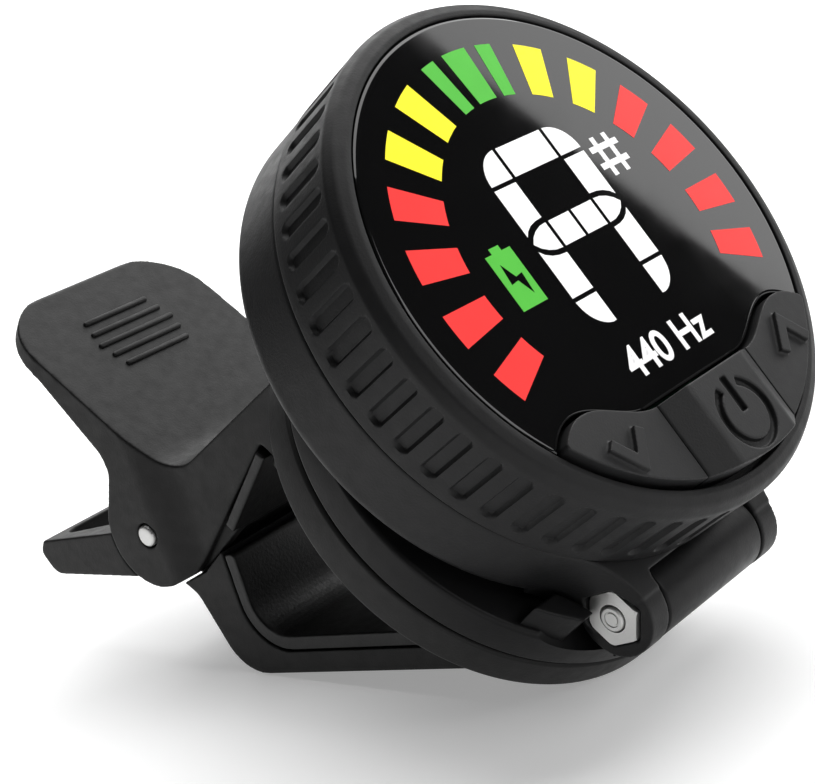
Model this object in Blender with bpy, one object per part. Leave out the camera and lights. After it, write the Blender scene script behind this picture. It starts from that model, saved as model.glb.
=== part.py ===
"""Clip-on instrument tuner: a round display head on a friction hinge, a swivel disc and a spring clip.

Every outline is drawn in millimetres in one of three frames, and scaled to metres as its mesh is made.
- Clip frame: X from the finger levers to the jaw tips, Y along every hinge pin, Z square to the lower jaw.
- Plate frame: origin at the swivel seam's centre, x down the plate to the head's hinge, z out of the plate.
- Head frame: origin at the centre of the lens's face, x from the centre to the keys, z out of the face.
"""
import math

import bmesh
import bpy
from mathutils import Matrix, Vector

MM = 0.001

# Clip frame: where the working axes are, as (X, Z).
PIN = (-48.63, 14.01)
PLATE_BASE = (-17.85, 12.7)
PLATE_TILT = math.radians(60.7)
HEAD_TILT = math.radians(66.7)

# The flange of the upper jaw and the disc that swivels on it.
FLANGE_R = 19.05
FLANGE_T = 3.3
SEAM_GAP = 0.2
DISC_T = 3.3
CHEEK_TOP = 5.8
CHEEK_X = (12.0, 14.8)
BARREL_R = 3.2
BARREL_HALF = 6.6
HINGE_ON_PLATE = (16.0, 6.3)
RELIEF_R = 3.85

# The head.
HINGE_IN_HEAD = (23.0, -11.7)
HEAD_R = 21.8
COVER_R = 21.7
LENS_R = 20.0
LENS_T = 1.2
PARTING_Z = -8.2
HEAD_BACK_Z = -14.4
FLUTE_COUNT = 54
FLUTE_Z = (-7.0, -1.7)
FLUTE_W = 1.25
FLUTE_DEPTH = 0.35
ARM_R = 3.25
ARM_HALF = 9.0
FLARE_R = 8.0
BOARD_Z = (-8.0, -7.0)

# The keys.
KEY_R = 19.7
KEY_EDGE_X = 12.4
KEY_CREST = (12.9, 10.1)
KEY_SPLIT = 6.0
KEY_FLAT = 3.6
SIDE_KEY_Z = 0.75
POWER_KEY_Z = 2.1
STEM_R = 1.1
STEMS = {"down_key": (14.2, -10.0), "power_key": (16.3, 0.0), "up_key": (14.2, 10.0)}

# The clip.
LEVER_HALF = 10.8
JAW_HALF = 9.8
CHEEK_IN = 7.8
BOSS_R = 5.0
KNUCKLE_HALF = 7.5
SPRING_HALF = 4.7
PIN_R = 1.0
PIN_HOLE_R = 1.15
LEVER_END = (-59.2, 36.1)
LEVER_SLOPE = 1.073
THROAT_DEPTH = 8.35
WEB_CORNER = (6.0, -42)
WEB_FOOT = -75.6
CHEEK_STEP = 9.0
JAW_CORNER_R = 3.0
JAW_CORNER = (-41.52, JAW_CORNER_R)
PAD_T = 1.3
PAD_SHORT_LEG = 9.3
PAD_SHORT_T = 0.75
PAD_SHORT_PROUD = 0.3
PAD_LONG_LEG = 17.3
PAD_LAP = 0.6
PAD_PROUD = 0.4
PAD_SEAT_HALF = 8.9
LOWER_PAD_TOP = 3.4
TAPER_X = (-47.6, -42.6)
GAP = 0.15

# The M2 hinge screw and nut.
SCREW_R = 1.0
NUT_FLATS = 4.0
NUT_T = 1.45

# The tuner lies on a table on the lower jaw's corner and on the flange's edge.
FLANGE_FOOT = (PLATE_BASE[0] + FLANGE_R * math.cos(PLATE_TILT),
               PLATE_BASE[1] - FLANGE_R * math.sin(PLATE_TILT))


def table_tilt():
    """Angle of the common tangent under the jaw's corner arc and the flange's lowest point."""
    run = FLANGE_FOOT[0] - JAW_CORNER[0]
    drop = JAW_CORNER[1] - FLANGE_FOOT[1]
    return math.atan2(drop, run) - math.asin(JAW_CORNER_R / math.hypot(run, drop))


TABLE_TILT = table_tilt()
TABLE_X = 29.08
TABLE_Z = -(FLANGE_FOOT[0] * math.sin(TABLE_TILT) + FLANGE_FOOT[1] * math.cos(TABLE_TILT))


# ---------------------------------------------------------------- outlines

def arc(centre, radius, start, end, steps):
    """Points on a circle from start to end, in degrees."""
    points = []
    for i in range(steps + 1):
        a = math.radians(start + (end - start) * i / steps)
        points.append((centre[0] + radius * math.cos(a), centre[1] + radius * math.sin(a)))
    return points


def circle(centre, radius, steps):
    return arc(centre, radius, 0, 360, steps)[:-1]


def rounded(corners, steps=3):
    """Outline through (u, v, r) corners, each one rounded to radius r."""
    points = []
    count = len(corners)
    for i in range(count):
        u, v, r = corners[i]
        here = Vector((u, v))
        if r == 0:
            points.append((u, v))
            continue
        back = (Vector(corners[i - 1][:2]) - here).normalized()
        ahead = (Vector(corners[(i + 1) % count][:2]) - here).normalized()
        half = back.angle(ahead) / 2
        centre = here + (back + ahead).normalized() * (r / math.sin(half))
        first = here + back * (r / math.tan(half)) - centre
        last = here + ahead * (r / math.tan(half)) - centre
        turn = first.angle_signed(last)
        for k in range(steps + 1):
            a = -turn * k / steps
            spoke = Matrix.Rotation(a, 2) @ first
            points.append(tuple(centre + spoke))
    return points


def polar(centre, radius, degrees):
    a = math.radians(degrees)
    return (centre[0] + radius * math.cos(a), centre[1] + radius * math.sin(a))


def on_plate(along, out):
    """Clip-frame point from a distance down the plate and a height above the flange's base."""
    c, s = math.cos(PLATE_TILT), math.sin(PLATE_TILT)
    return (PLATE_BASE[0] + along * c + out * s, PLATE_BASE[1] - along * s + out * c)


# ---------------------------------------------------------------- solids

def mesh_object(name, bm):
    bmesh.ops.recalc_face_normals(bm, faces=bm.faces)
    mesh = bpy.data.meshes.new(name)
    bm.to_mesh(mesh)
    bm.free()
    obj = bpy.data.objects.new(name, mesh)
    bpy.context.scene.collection.objects.link(obj)
    return obj


PLANES = {
    "XZ": lambda u, v, w: (u, w, v),
    "XY": lambda u, v, w: (u, v, w),
    "YZ": lambda u, v, w: (w, u, v),
}


def prism(outline, low, high, plane="XZ", name="prism"):
    """Extrude an outline along the axis that is square to its plane."""
    to_point = PLANES[plane]
    bm = bmesh.new()
    rings = []
    for w in (low, high):
        rings.append([bm.verts.new(Vector(to_point(u, v, w)) * MM) for u, v in outline])
    bm.faces.new(rings[0])
    bm.faces.new(reversed(rings[1]))
    count = len(outline)
    for i in range(count):
        j = (i + 1) % count
        bm.faces.new((rings[0][i], rings[0][j], rings[1][j], rings[1][i]))
    return mesh_object(name, bm)


def bar(centre, radius, low, high, axis="Y", steps=32, name="bar"):
    """Round bar along Y (centre is X, Z) or along Z (centre is X, Y)."""
    return prism(circle(centre, radius, steps), low, high, "XZ" if axis == "Y" else "XY", name)


def turned(profile, steps, name="turned"):
    """Solid of revolution about Z from a closed (r, z) profile that stays off the axis."""
    bm = bmesh.new()
    rings = []
    for i in range(steps):
        a = 2 * math.pi * i / steps
        c, s = math.cos(a), math.sin(a)
        rings.append([bm.verts.new(Vector((r * c, r * s, z)) * MM) for r, z in profile])
    count = len(profile)
    for i in range(steps):
        ring, following = rings[i], rings[(i + 1) % steps]
        for k in range(count):
            m = (k + 1) % count
            bm.faces.new((ring[k], ring[m], following[m], following[k]))
    return mesh_object(name, bm)


def stacked(profile, steps, name="stacked"):
    """Solid with flat ends about Z, through (r, z) rings from one end to the other."""
    bm = bmesh.new()
    rings = []
    for r, z in profile:
        rings.append([bm.verts.new(Vector((x, y, z)) * MM) for x, y in circle((0, 0), r, steps)])
    for ring, following in zip(rings, rings[1:]):
        for k in range(steps):
            m = (k + 1) % steps
            bm.faces.new((ring[k], ring[m], following[m], following[k]))
    bm.faces.new(rings[0])
    bm.faces.new(reversed(rings[-1]))
    return mesh_object(name, bm)


def wire(path, radius, sides=8, name="wire"):
    """Round wire swept along a path of clip-frame points."""
    bm = bmesh.new()
    rings = []
    last = len(path) - 1
    for i, point in enumerate(path):
        ahead = (path[min(i + 1, last)] - path[max(i - 1, 0)]).normalized()
        side = ahead.cross(Vector((0.12, 0.97, 0.21))).normalized()
        up = side.cross(ahead)
        ring = []
        for k in range(sides):
            a = 2 * math.pi * k / sides
            ring.append(bm.verts.new((point + radius * (math.cos(a) * side + math.sin(a) * up)) * MM))
        rings.append(ring)
    for ring, following in zip(rings, rings[1:]):
        for k in range(sides):
            m = (k + 1) % sides
            bm.faces.new((ring[k], ring[m], following[m], following[k]))
    bm.faces.new(rings[0])
    bm.faces.new(reversed(rings[-1]))
    return mesh_object(name, bm)


def combine(body, others, operation):
    """Apply exact booleans to a body and remove the tools."""
    for tool in others:
        step = body.modifiers.new(operation.lower(), "BOOLEAN")
        step.operation = operation
        step.solver = "EXACT"
        step.object = tool
    bpy.context.view_layer.update()
    graph = bpy.context.evaluated_depsgraph_get()
    result = bpy.data.meshes.new_from_object(body.evaluated_get(graph))
    body.modifiers.clear()
    body.data = result
    for tool in others:
        bpy.data.objects.remove(tool)
    return body


def cut(body, *tools):
    return combine(body, tools, "DIFFERENCE")


def join(body, *tools):
    return combine(body, tools, "UNION")


def keep_inside(body, *tools):
    return combine(body, tools, "INTERSECT")


def moved(tool, matrix):
    """Move a mesh, such as a tool's before it is used."""
    tool.data.transform(matrix)
    return tool


def plate_matrix():
    """Plate frame to clip frame."""
    seam = on_plate(0, FLANGE_T)
    return Matrix.Translation(Vector((seam[0], 0, seam[1])) * MM) @ Matrix.Rotation(PLATE_TILT, 4, "Y")


# ---------------------------------------------------------------- materials and frames

def material(name, colour, roughness, metallic=0.0, glow=0.0):
    mat = bpy.data.materials.new(name)
    mat.use_nodes = True
    shader = mat.node_tree.nodes["Principled BSDF"]
    shader.inputs["Base Color"].default_value = (*colour, 1.0)
    shader.inputs["Roughness"].default_value = roughness
    shader.inputs["Metallic"].default_value = metallic
    shader.inputs["Emission Color"].default_value = (*colour, 1.0)
    shader.inputs["Emission Strength"].default_value = glow
    return mat


def finish(obj, name, look, parent, offset=(0.0, 0.0, 0.0)):
    """Name a solid, give it its material, and hang it on the empty of its joint."""
    obj.name = name
    obj.data.name = name
    obj.data.materials.clear()
    obj.data.materials.append(look)
    obj.data.shade_smooth()
    obj.data.set_sharp_from_angle(angle=math.radians(35))
    obj.parent = parent
    obj.location = Vector(offset) * MM
    return obj


def empty(name, parent, location, turn):
    """Empty turned about Y, at a place in its parent's frame."""
    obj = bpy.data.objects.new(name, None)
    bpy.context.scene.collection.objects.link(obj)
    obj.parent = parent
    obj.location = Vector(location) * MM
    obj.rotation_euler = (0.0, turn, 0.0)
    return obj


# ---------------------------------------------------------------- head

def key_edge(y):
    """x of the edge between the lens and the keys: flat in the middle, with a crest near each end."""
    side = abs(y)
    crest_y, crest_x = KEY_CREST
    if side <= KEY_SPLIT:
        return KEY_EDGE_X
    if side <= crest_y:
        t = (side - KEY_SPLIT) / (crest_y - KEY_SPLIT)
        return KEY_EDGE_X + (crest_x - KEY_EDGE_X) * (1 - math.cos(math.pi * t)) / 2
    return crest_x + 0.146 * (side - crest_y) ** 2


def edge_line(y0, y1, offset, steps):
    """Points along the edge from y0 to y1, moved by offset towards the keys."""
    ys = [y0 + (y1 - y0) * i / steps for i in range(steps + 1)]
    return [(key_edge(y) + offset, y) for y in ys]


def edge_end(radius, offset):
    """y where the edge, moved by offset, meets a circle about the face's centre."""
    low, high = KEY_CREST[0], radius
    for _ in range(40):
        y = (low + high) / 2
        if math.hypot(key_edge(y) + offset, y) < radius:
            low = y
        else:
            high = y
    return low


def round_part(radius, offset, steps):
    """Outline of a disc whose key side ends at the edge, moved by offset."""
    y = edge_end(radius, offset)
    start = math.degrees(math.atan2(y, key_edge(y) + offset))
    outline = arc((0, 0), radius, start, 360 - start, steps)
    return outline + edge_line(-y, y, offset, 28)[1:-1]


def sector_key(y0, y1, steps):
    """Outline of one key's cap, between the edge and the panel's outer arc."""
    edge = edge_line(y0, y1, 0.25, steps)
    a0 = math.degrees(math.asin(y0 / KEY_R))
    a1 = math.degrees(math.asin(y1 / KEY_R))
    return edge + arc((0, 0), KEY_R, a1, a0, steps)


def post_places():
    """Centres of the three screw posts in the head."""
    return [polar((0, 0), 17.4, a) for a in (62, 180, 298)]


def bezel():
    lip = [(20.2, 0.1), (20.6, 0.3), (21.05, 0.2), (21.5, -0.3), (HEAD_R, -1.2)]
    inside = [(20.0, PARTING_Z), (20.0, -3.0), (18.8, -3.0), (18.8, -1.5), (20.2, -1.5)]
    body = turned(lip + [(HEAD_R, PARTING_Z)] + inside, 96)
    deck = arc((0, 0), 19.4, -51, 51, 24)
    posts = [bar(p, 2.0, -12.5, -2.9, "Z", 16) for p in post_places()]
    body = join(body, prism(deck, -3.0, -1.5, "XY"), *posts)
    flutes = bmesh.new()
    for i in range(FLUTE_COUNT):
        turn = Matrix.Rotation(2 * math.pi * (i + 0.5) / FLUTE_COUNT, 4, "Z")
        half = FLUTE_W / 2
        top = arc((0, FLUTE_Z[1] - half), half, 0, 180, 3)
        foot = arc((0, FLUTE_Z[0] + half), half, 180, 360, 3)
        groove = prism(top + foot, HEAD_R - FLUTE_DEPTH, HEAD_R + 1, "YZ")
        groove.data.transform(turn)
        flutes.from_mesh(groove.data)
        bpy.data.objects.remove(groove)
    body = cut(body, mesh_object("flutes", flutes))
    holes = [bar(p, 1.0, -13, -7.5, "Z", 12) for p in post_places()]
    holes += [bar(p, STEM_R + 0.25, -4, 0, "Z", 16) for p in STEMS.values()]
    return cut(body, *holes)


def rear_cover():
    outer = [(COVER_R - 0.6, HEAD_BACK_Z), (COVER_R - 0.15, HEAD_BACK_Z + 0.2)]
    outer += [(COVER_R, HEAD_BACK_Z + 0.6), (COVER_R, PARTING_Z - GAP)]
    body = cut(stacked(outer, 96), bar((0, 0), 20.0, HEAD_BACK_Z + 1.6, -5, "Z", 72))
    block = prism(flare_outline(), HEAD_BACK_Z, PARTING_Z - GAP, "XY")
    ears = bar(HINGE_IN_HEAD, ARM_R, -ARM_HALF, ARM_HALF)
    body = join(body, block, ears)
    x, z = HINGE_IN_HEAD
    notch = BARREL_HALF + GAP
    body = cut(body, bar(HINGE_IN_HEAD, 3.55, -notch, notch))
    body = cut(body, prism([(x - 3.55, -16), (27, -16), (27, z), (x - 3.55, z)], -notch, notch))
    body = cut(body, bar(HINGE_IN_HEAD, SCREW_R + 0.15, -12, 12, "Y", 20))
    body = cut(body, hexagon(NUT_FLATS + 0.3, -12, -7.7), bar(HINGE_IN_HEAD, 2.1, 7.7, 12, "Y", 24))
    holes = []
    for place in post_places():
        holes += [bar(place, 1.0, -15, -11, "Z", 12), bar(place, 1.9, -15, -13.3, "Z", 20)]
        holes.append(bar(place, 2.25, -12.8, -5, "Z", 16))
    mouth = rounded([(-4.7, -11.9, 1.5), (4.7, -11.9, 1.5), (4.7, -8.6, 1.5), (-4.7, -8.6, 1.5)])
    return cut(body, prism(mouth, 18, 24), *holes)


def flare_centre():
    """Centre of the fillet, seen from the front, between the head's side and an arm's outer face."""
    y = ARM_HALF + FLARE_R
    return (math.sqrt((COVER_R + FLARE_R) ** 2 - y ** 2), y)


def flare_outline():
    """Outline, seen from the front, of the block that carries the two hinge arms."""
    x, y = flare_centre()
    start = math.degrees(math.atan2(-y, -x)) + 360
    end = 270 - math.degrees(math.asin((x - HINGE_IN_HEAD[0]) / FLARE_R))
    half = arc((x, y), FLARE_R, start, end, 8)
    inner = [(17.6, half[0][1]), (17.6, -half[0][1])]
    return half[::-1] + inner + [(u, -v) for u, v in half]


def hexagon(flats, low, high):
    """Six-sided bar on the head's hinge axis."""
    return prism(arc(HINGE_IN_HEAD, flats / math.sqrt(3), 15, 375, 6)[:-1], low, high)


def key_cap(name):
    """Cap and stem of one key."""
    split, end = KEY_SPLIT - 0.12, edge_end(KEY_R - 0.05, 0.25) - 0.1
    if name == "power_key":
        ridge = [(-split, -0.9), (split, -0.9), (split, SIDE_KEY_Z), (KEY_FLAT, POWER_KEY_Z)]
        ridge += [(-KEY_FLAT, POWER_KEY_Z), (-split, SIDE_KEY_Z)]
        cap = prism(ridge, KEY_EDGE_X, KEY_R + 1, "YZ")
        cap = keep_inside(cap, prism(sector_key(-split - 0.1, split + 0.1, 12), -2, 4, "XY"))
    else:
        y0, y1 = (KEY_SPLIT + 0.12, end) if name == "up_key" else (-end, -KEY_SPLIT - 0.12)
        cap = prism(sector_key(y0, y1, 16), -0.9, SIDE_KEY_Z, "XY")
    return join(cap, bar(STEMS[name], STEM_R, -4.9, -0.8, "Z", 16))


def switch(place):
    """Tactile switch under a key: a square body with a round plunger."""
    x, y = place
    top = BOARD_Z[1]
    square = [(x - 1.7, y - 1.7), (x + 1.7, y - 1.7), (x + 1.7, y + 1.7), (x - 1.7, y + 1.7)]
    return join(prism(square, top + 0.1, top + 1.3, "XY"), bar(place, 0.8, top + 1.2, -5.45, "Z", 12))


def circuit_board():
    body = bar((0, 0), 19.3, *BOARD_Z, "Z", 64)
    return cut(body, *[bar(p, 2.3, -9, -6, "Z", 16) for p in post_places()])


def case_screw(place):
    """Pan-head screw from the back of the head into its post."""
    return join(bar(place, 1.65, -14.3, -13.5, "Z", 20), bar(place, 0.8, -13.6, -9, "Z", 12))


def hinge_screw():
    shank = bar(HINGE_IN_HEAD, SCREW_R, -9.45, 8.2, "Y", 20)
    return join(shank, bar(HINGE_IN_HEAD, 1.9, 7.9, 8.9, "Y", 24))


def hinge_nut():
    body = hexagon(NUT_FLATS, -7.8 - NUT_T, -7.8)
    return cut(body, bar(HINGE_IN_HEAD, SCREW_R + 0.12, -12, -7, "Y", 20))


def charge_socket():
    """Metal shell of the charging socket, open towards the outside, with its tongue."""
    outer = rounded([(-4.4, -11.7, 1.4), (4.4, -11.7, 1.4), (4.4, -8.8, 1.4), (-4.4, -8.8, 1.4)])
    inner = rounded([(-4.0, -11.3, 1.0), (4.0, -11.3, 1.0), (4.0, -9.2, 1.0), (-4.0, -9.2, 1.0)])
    shell = cut(prism(outer, 14.4, 21.3), prism(inner, 15.4, 23))
    tongue = [(-3.2, -10.55), (3.2, -10.55), (3.2, -9.95), (-3.2, -9.95)]
    return join(shell, prism(tongue, 15.0, 20.0))


# ---------------------------------------------------------------- swivel

def swivel_disc():
    """Disc with the barrel of the head's hinge, in the plate frame."""
    x, z = HINGE_ON_PLATE
    top = SEAM_GAP + DISC_T
    body = bar((0, 0), FLANGE_R, SEAM_GAP, top, "Z", 96)
    body = cut(body, bar((x, z), RELIEF_R, BARREL_HALF, 14), bar((x, z), RELIEF_R, -14, -BARREL_HALF))
    flare_x, flare_y = flare_centre()
    flare_x += x - HINGE_IN_HEAD[0]
    for side in (-1, 1):
        near, far = CHEEK_X
        outline = [(near, 0), (far, 0), (far, side * FLANGE_R), (near, side * FLANGE_R)]
        cheek = prism(outline, SEAM_GAP + 1, CHEEK_TOP, "XY")
        round_side = bar((0, 0), FLANGE_R - 0.06, 0, 9, "Z", 96)
        flare = bar((flare_x, side * flare_y), FLARE_R - 0.4, 0, 9, "Z", 40)
        body = join(body, keep_inside(cheek, round_side, flare))
    body = cut(body, bar((x, z), RELIEF_R, -ARM_HALF - 0.35, ARM_HALF + 0.35))
    foot = SEAM_GAP + 1
    web = [(x - BARREL_R, foot), (x + 2, foot), (x + BARREL_R, z), (x - BARREL_R, z)]
    barrel = bar((x, z), BARREL_R, -BARREL_HALF, BARREL_HALF, "Y", 40)
    body = join(body, prism(web, -BARREL_HALF, BARREL_HALF), barrel)
    bores = [bar((x, z), SCREW_R + 0.15, -12, 12, "Y", 20), bar((0, 0), 1.5, -1, 9, "Z", 20)]
    return cut(body, *bores, bar((0, 0), 2.95, top - 1.35, 9, "Z", 24))


def swivel_screw():
    """Screw from the disc's top, through the jaw's plate, to its nut."""
    top = SEAM_GAP + DISC_T
    return join(bar((0, 0), 2.7, top - 1.2, top - 0.1, "Z", 24), bar((0, 0), 1.25, -9.4, top - 1.0, "Z", 20))


def ring(outer, inner, low, high, sides=24):
    start = 30 if sides == 6 else 0
    body = prism(arc((0, 0), outer, start, start + 360, sides)[:-1], low, high, "XY")
    return cut(body, bar((0, 0), inner, low - 1, high + 1, "Z", 20))


# ---------------------------------------------------------------- clip

def lever_point(along, depth):
    """Point a distance down the upper lever's top face from its end, and a depth below it."""
    a = math.atan(LEVER_SLOPE)
    return (LEVER_END[0] + along * math.cos(a) - depth * math.sin(a),
            LEVER_END[1] - along * math.sin(a) - depth * math.cos(a))


def lever_corners(half):
    """Cutters that round the upper lever's two end corners in plan."""
    r = 6.5
    a = math.atan(LEVER_SLOPE)
    tools = []
    for side in (-1, 1):
        outline = [(-3, -3), (r, -3), (r, 0)] + arc((r, r), r, 270, 180, 8)[1:] + [(-3, r)]
        tool = prism([(u, side * v) for u, v in outline], -8, 8, "XY")
        place = Matrix.Translation(Vector((LEVER_END[0], -side * half, LEVER_END[1])) * MM)
        tools.append(moved(tool, place @ Matrix.Rotation(a, 4, "Y")))
    return tools


def upper_jaw():
    """Lever, cheeks, wedge and round flange in one moulding, in the clip frame."""
    neck = (-50.7, 20.2)
    under = [lever_point(16.0, 3.6), lever_point(7.3, 1.8), lever_point(0, 1.6)]
    valley = (-43.1, 18.84)
    tip_x = on_plate(9.98, 0)
    throat_low = on_plate(10.3 - THROAT_DEPTH * 0.56, -THROAT_DEPTH)
    apex = on_plate(-12.45, -THROAT_DEPTH)
    split = polar(PIN, 9.7, -6.5)
    profile = [(*LEVER_END, 0.6), (*valley, 4.0), (-25.0, 26.4, 0), (*on_plate(9.98, 0.6), 0)]
    profile += [(tip_x[0] + 0.4, 3.75, 0), (throat_low[0], 3.75, 0.4), (*apex, 0.8), (*split, 0.4)]
    profile += [(*polar(PIN, *WEB_CORNER), 1.5), (*polar(PIN, BOSS_R, WEB_FOOT), 0), (*PIN, 0)]
    profile += [(*polar(PIN, BOSS_R - 0.05, 150), 0)]
    profile += [(*neck, 1.5), (*under[0], 2.0), (*under[1], 4.0), (*under[2], 0.5)]
    wide = LEVER_HALF + 1
    body = join(prism(rounded(profile), -wide, wide), bar(PIN, BOSS_R, -wide, wide, "Y", 48))
    body = keep_inside(body, prism(jaw_plan(), -5, 45, "XY"))
    flange = moved(bar((0, 0), FLANGE_R, -FLANGE_T, 0, "Z", 96), plate_matrix())
    body = join(body, flange)
    body = cut(body, *lever_corners(LEVER_HALF))
    body = cut(body, bar(PIN, BOSS_R + 0.7, -CHEEK_IN, CHEEK_IN, "Y", 40))
    body = cut(body, bar(PIN, PIN_HOLE_R, -wide, wide, "Y", 20))
    corner, wall, wall_out, plate, plate_out = throat_frame()
    pocket = pad_pocket(corner, wall, wall_out, PAD_SHORT_LEG, PAD_SHORT_T)
    step = [(-31.3, 20.4), (-45.0, 9.7), (-44.0, 8.0), (-37.0, 11.5), (-30.8, 19.0)]
    body = cut(body, prism(pocket, -wide, wide))
    body = cut(body, prism(step, CHEEK_STEP, wide), prism(step, -wide, -CHEEK_STEP))
    between = [PIN, polar(PIN, 12.0, -6.5), (-36.0, 7.0), (-50.0, 7.0)]
    body = cut(body, prism(between, -CHEEK_IN, CHEEK_IN))
    seat = pad_pocket(corner, plate, plate_out, PAD_LONG_LEG, PAD_T)
    body = cut(body, prism(seat, -PAD_SEAT_HALF, PAD_SEAT_HALF))
    holes = [bar((0, 0), 1.4, -15, 1, "Z", 20), nut_seat(-11.0, -8.0)]
    return cut(body, *[moved(tool, plate_matrix()) for tool in holes])


def jaw_plan():
    """Outline from above: full width at the lever and the pin, easing in to the jaw's width."""
    start, end = TAPER_X
    steps = 8
    side = [(-70, -LEVER_HALF)]
    for i in range(steps + 1):
        t = i / steps
        ease = t * t * (3 - 2 * t)
        side.append((start + (end - start) * t, -LEVER_HALF + (LEVER_HALF - JAW_HALF) * ease))
    side.append((0, -JAW_HALF))
    return side + [(x, -y) for x, y in side[::-1]]


def nut_seat(low, high):
    """Hexagonal seat of the swivel's nut, in the plate frame."""
    return prism(arc((0, 0), 2.75, 30, 390, 6)[:-1], low, high, "XY")


def throat_frame():
    """Corner of the upper throat, then its wall's direction and outward normal, then its plate's."""
    corner = Vector(on_plate(-12.45, -THROAT_DEPTH))
    wall = (Vector(polar(PIN, 9.7, -6.5)) - corner).normalized()
    wall_out = Vector((-wall.y, wall.x))
    if wall_out.x > wall_out.y:
        wall_out = -wall_out
    plate = Vector((math.cos(PLATE_TILT), -math.sin(PLATE_TILT)))
    plate_out = Vector((math.sin(PLATE_TILT), math.cos(PLATE_TILT)))
    return corner, wall, wall_out, plate, plate_out


def pad_pocket(corner, along, out, length, depth):
    """Pocket for one leg of the upper pad, from just past the corner."""
    near = corner - along * PAD_LAP
    far = corner + along * length
    return [tuple(near - out), tuple(near + out * depth), tuple(far + out * depth), tuple(far - out)]


def upper_pad():
    """Rubber pad with a short leg on the throat's wall and a long leg under the plate."""
    corner, wall, wall_out, plate, plate_out = throat_frame()
    deep = PAD_T - GAP
    low = corner + wall * (PAD_SHORT_LEG - GAP)
    inner = wall_out * (PAD_SHORT_T - GAP)
    outer = -wall_out * PAD_SHORT_PROUD
    short = [corner + inner, low + inner, low + outer, corner + outer]
    end = corner + plate * (PAD_LONG_LEG - GAP)
    long = [corner + plate_out * deep, end + plate_out * deep, end - plate_out * 0.1]
    long += [end - plate * 0.5 - plate_out * PAD_PROUD]
    long += [corner + plate * PAD_LAP - plate_out * PAD_PROUD, corner]
    body = prism([tuple(p) for p in short], -JAW_HALF - 0.25, JAW_HALF + 0.25)
    return join(body, prism([tuple(p) for p in long], -PAD_SEAT_HALF + GAP, PAD_SEAT_HALF - GAP))


def lower_jaw():
    """Lever, knuckle and L-shaped jaw in one moulding, in the clip frame."""
    clear = BOSS_R + 0.35
    corners = [(-40.95, 11.55, 0), (*polar(PIN, 6.25, -42), 1.5), (*polar(PIN, 5.2, -76), 0)]
    corners += [(-46.1, 7.9, 2.5), (-43.72, 0.0, JAW_CORNER_R), (-13.2, 0.0, 0.6), (-12.9, 2.0, 0.4)]
    corners += [(-41.3, 2.0, 4.6)]
    body = prism(rounded(corners, 5), -JAW_HALF, JAW_HALF)
    lever = [(*p, 0) for p in arc(PIN, clear, 174.5, 226.5, 6)]
    lever += [(-64.4, 11.1, 1.7), (-65.5, 13.4, 0.8), (-64.6, 14.5, 0.4)]
    body_lever = prism(rounded(lever), -LEVER_HALF + 0.3, LEVER_HALF - 0.3)
    knuckle = [(-55.5, 10.6), (-52.3, 9.95), (-48.6, 9.4), (-47.3, 8.9), (-46.4, 8.3)]
    knuckle += [(-44.0, 8.6), (-42.9, 9.5), (-42.2, 12.6), (-43.4, 13.0), (-46.8, 14.6)]
    knuckle += [(-48.63, 14.6), (-55.5, 14.3)]
    barrel = bar(PIN, 4.4, -KNUCKLE_HALF, KNUCKLE_HALF, "Y", 40)
    core = join(prism(knuckle, -KNUCKLE_HALF, KNUCKLE_HALF), barrel)
    body = join(core, body, body_lever)
    window = rounded([(-9.1, -63.5, 1.5), (9.1, -63.5, 1.5), (7.4, -55.7, 1.2), (-7.4, -55.7, 1.2)])
    body = cut(body, prism([(x, y) for y, x in window], 5, 20, "XY"), bar(PIN, PIN_HOLE_R, -14, 14, "Y", 20))
    spring_room = [(-54.0, 14.9), (-54.0, 19), (-44, 19), (-44.0, 15.5)]
    body = cut(body, bar(PIN, 3.75, -SPRING_HALF, SPRING_HALF, "Y", 40))
    return cut(body, prism(spring_room, -SPRING_HALF, SPRING_HALF))


def lower_pad():
    """Rubber pad along the wall and the floor of the lower jaw."""
    low = 2.0 + GAP
    corners = [(-41.1, low, 4.45), (-14.2, low, 0.3), (-14.2, LOWER_PAD_TOP, 0.5)]
    corners += [(-39.95, LOWER_PAD_TOP, 3.5), (-39.6, 11.2, 0.4), (-40.78, 11.2, 0.3)]
    return prism(rounded(corners, 4), -JAW_HALF + 0.1, JAW_HALF - 0.1)


def clip_pin():
    """Steel pin with a slightly domed end on each side."""
    end = LEVER_HALF + 0.2
    rings = [(0.75, -end), (PIN_R, -LEVER_HALF), (PIN_R, LEVER_HALF), (0.75, end)]
    place = Matrix.Translation(Vector((PIN[0], 0, PIN[1])) * MM) @ Matrix.Rotation(math.pi / 2, 4, "X")
    return moved(stacked(rings, 24), place)


def torsion_spring():
    """Coil about the pin with a leg under each lever."""
    radius, turns, per_turn, reach = 2.7, 6, 14, 3.7
    first, last = 172.0, 90.0 + 360 * turns
    count = turns * per_turn
    path = []
    for i in range(count + 1):
        t = i / count
        x, z = polar(PIN, radius, first + (last - first) * t)
        path.append(Vector((x, -reach + 2 * reach * t, z)))
    upper_leg = [Vector((-54.9, -reach, 26.6)), Vector((-53.3, -reach, 20.5))]
    lower_leg = [Vector((-51.9, reach, 16.4)), Vector((-55.4, reach, 15.5))]
    return wire(upper_leg + path + lower_leg, 0.4)


# ---------------------------------------------------------------- assembly

def clear_scene():
    for obj in list(bpy.data.objects):
        bpy.data.objects.remove(obj)


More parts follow.
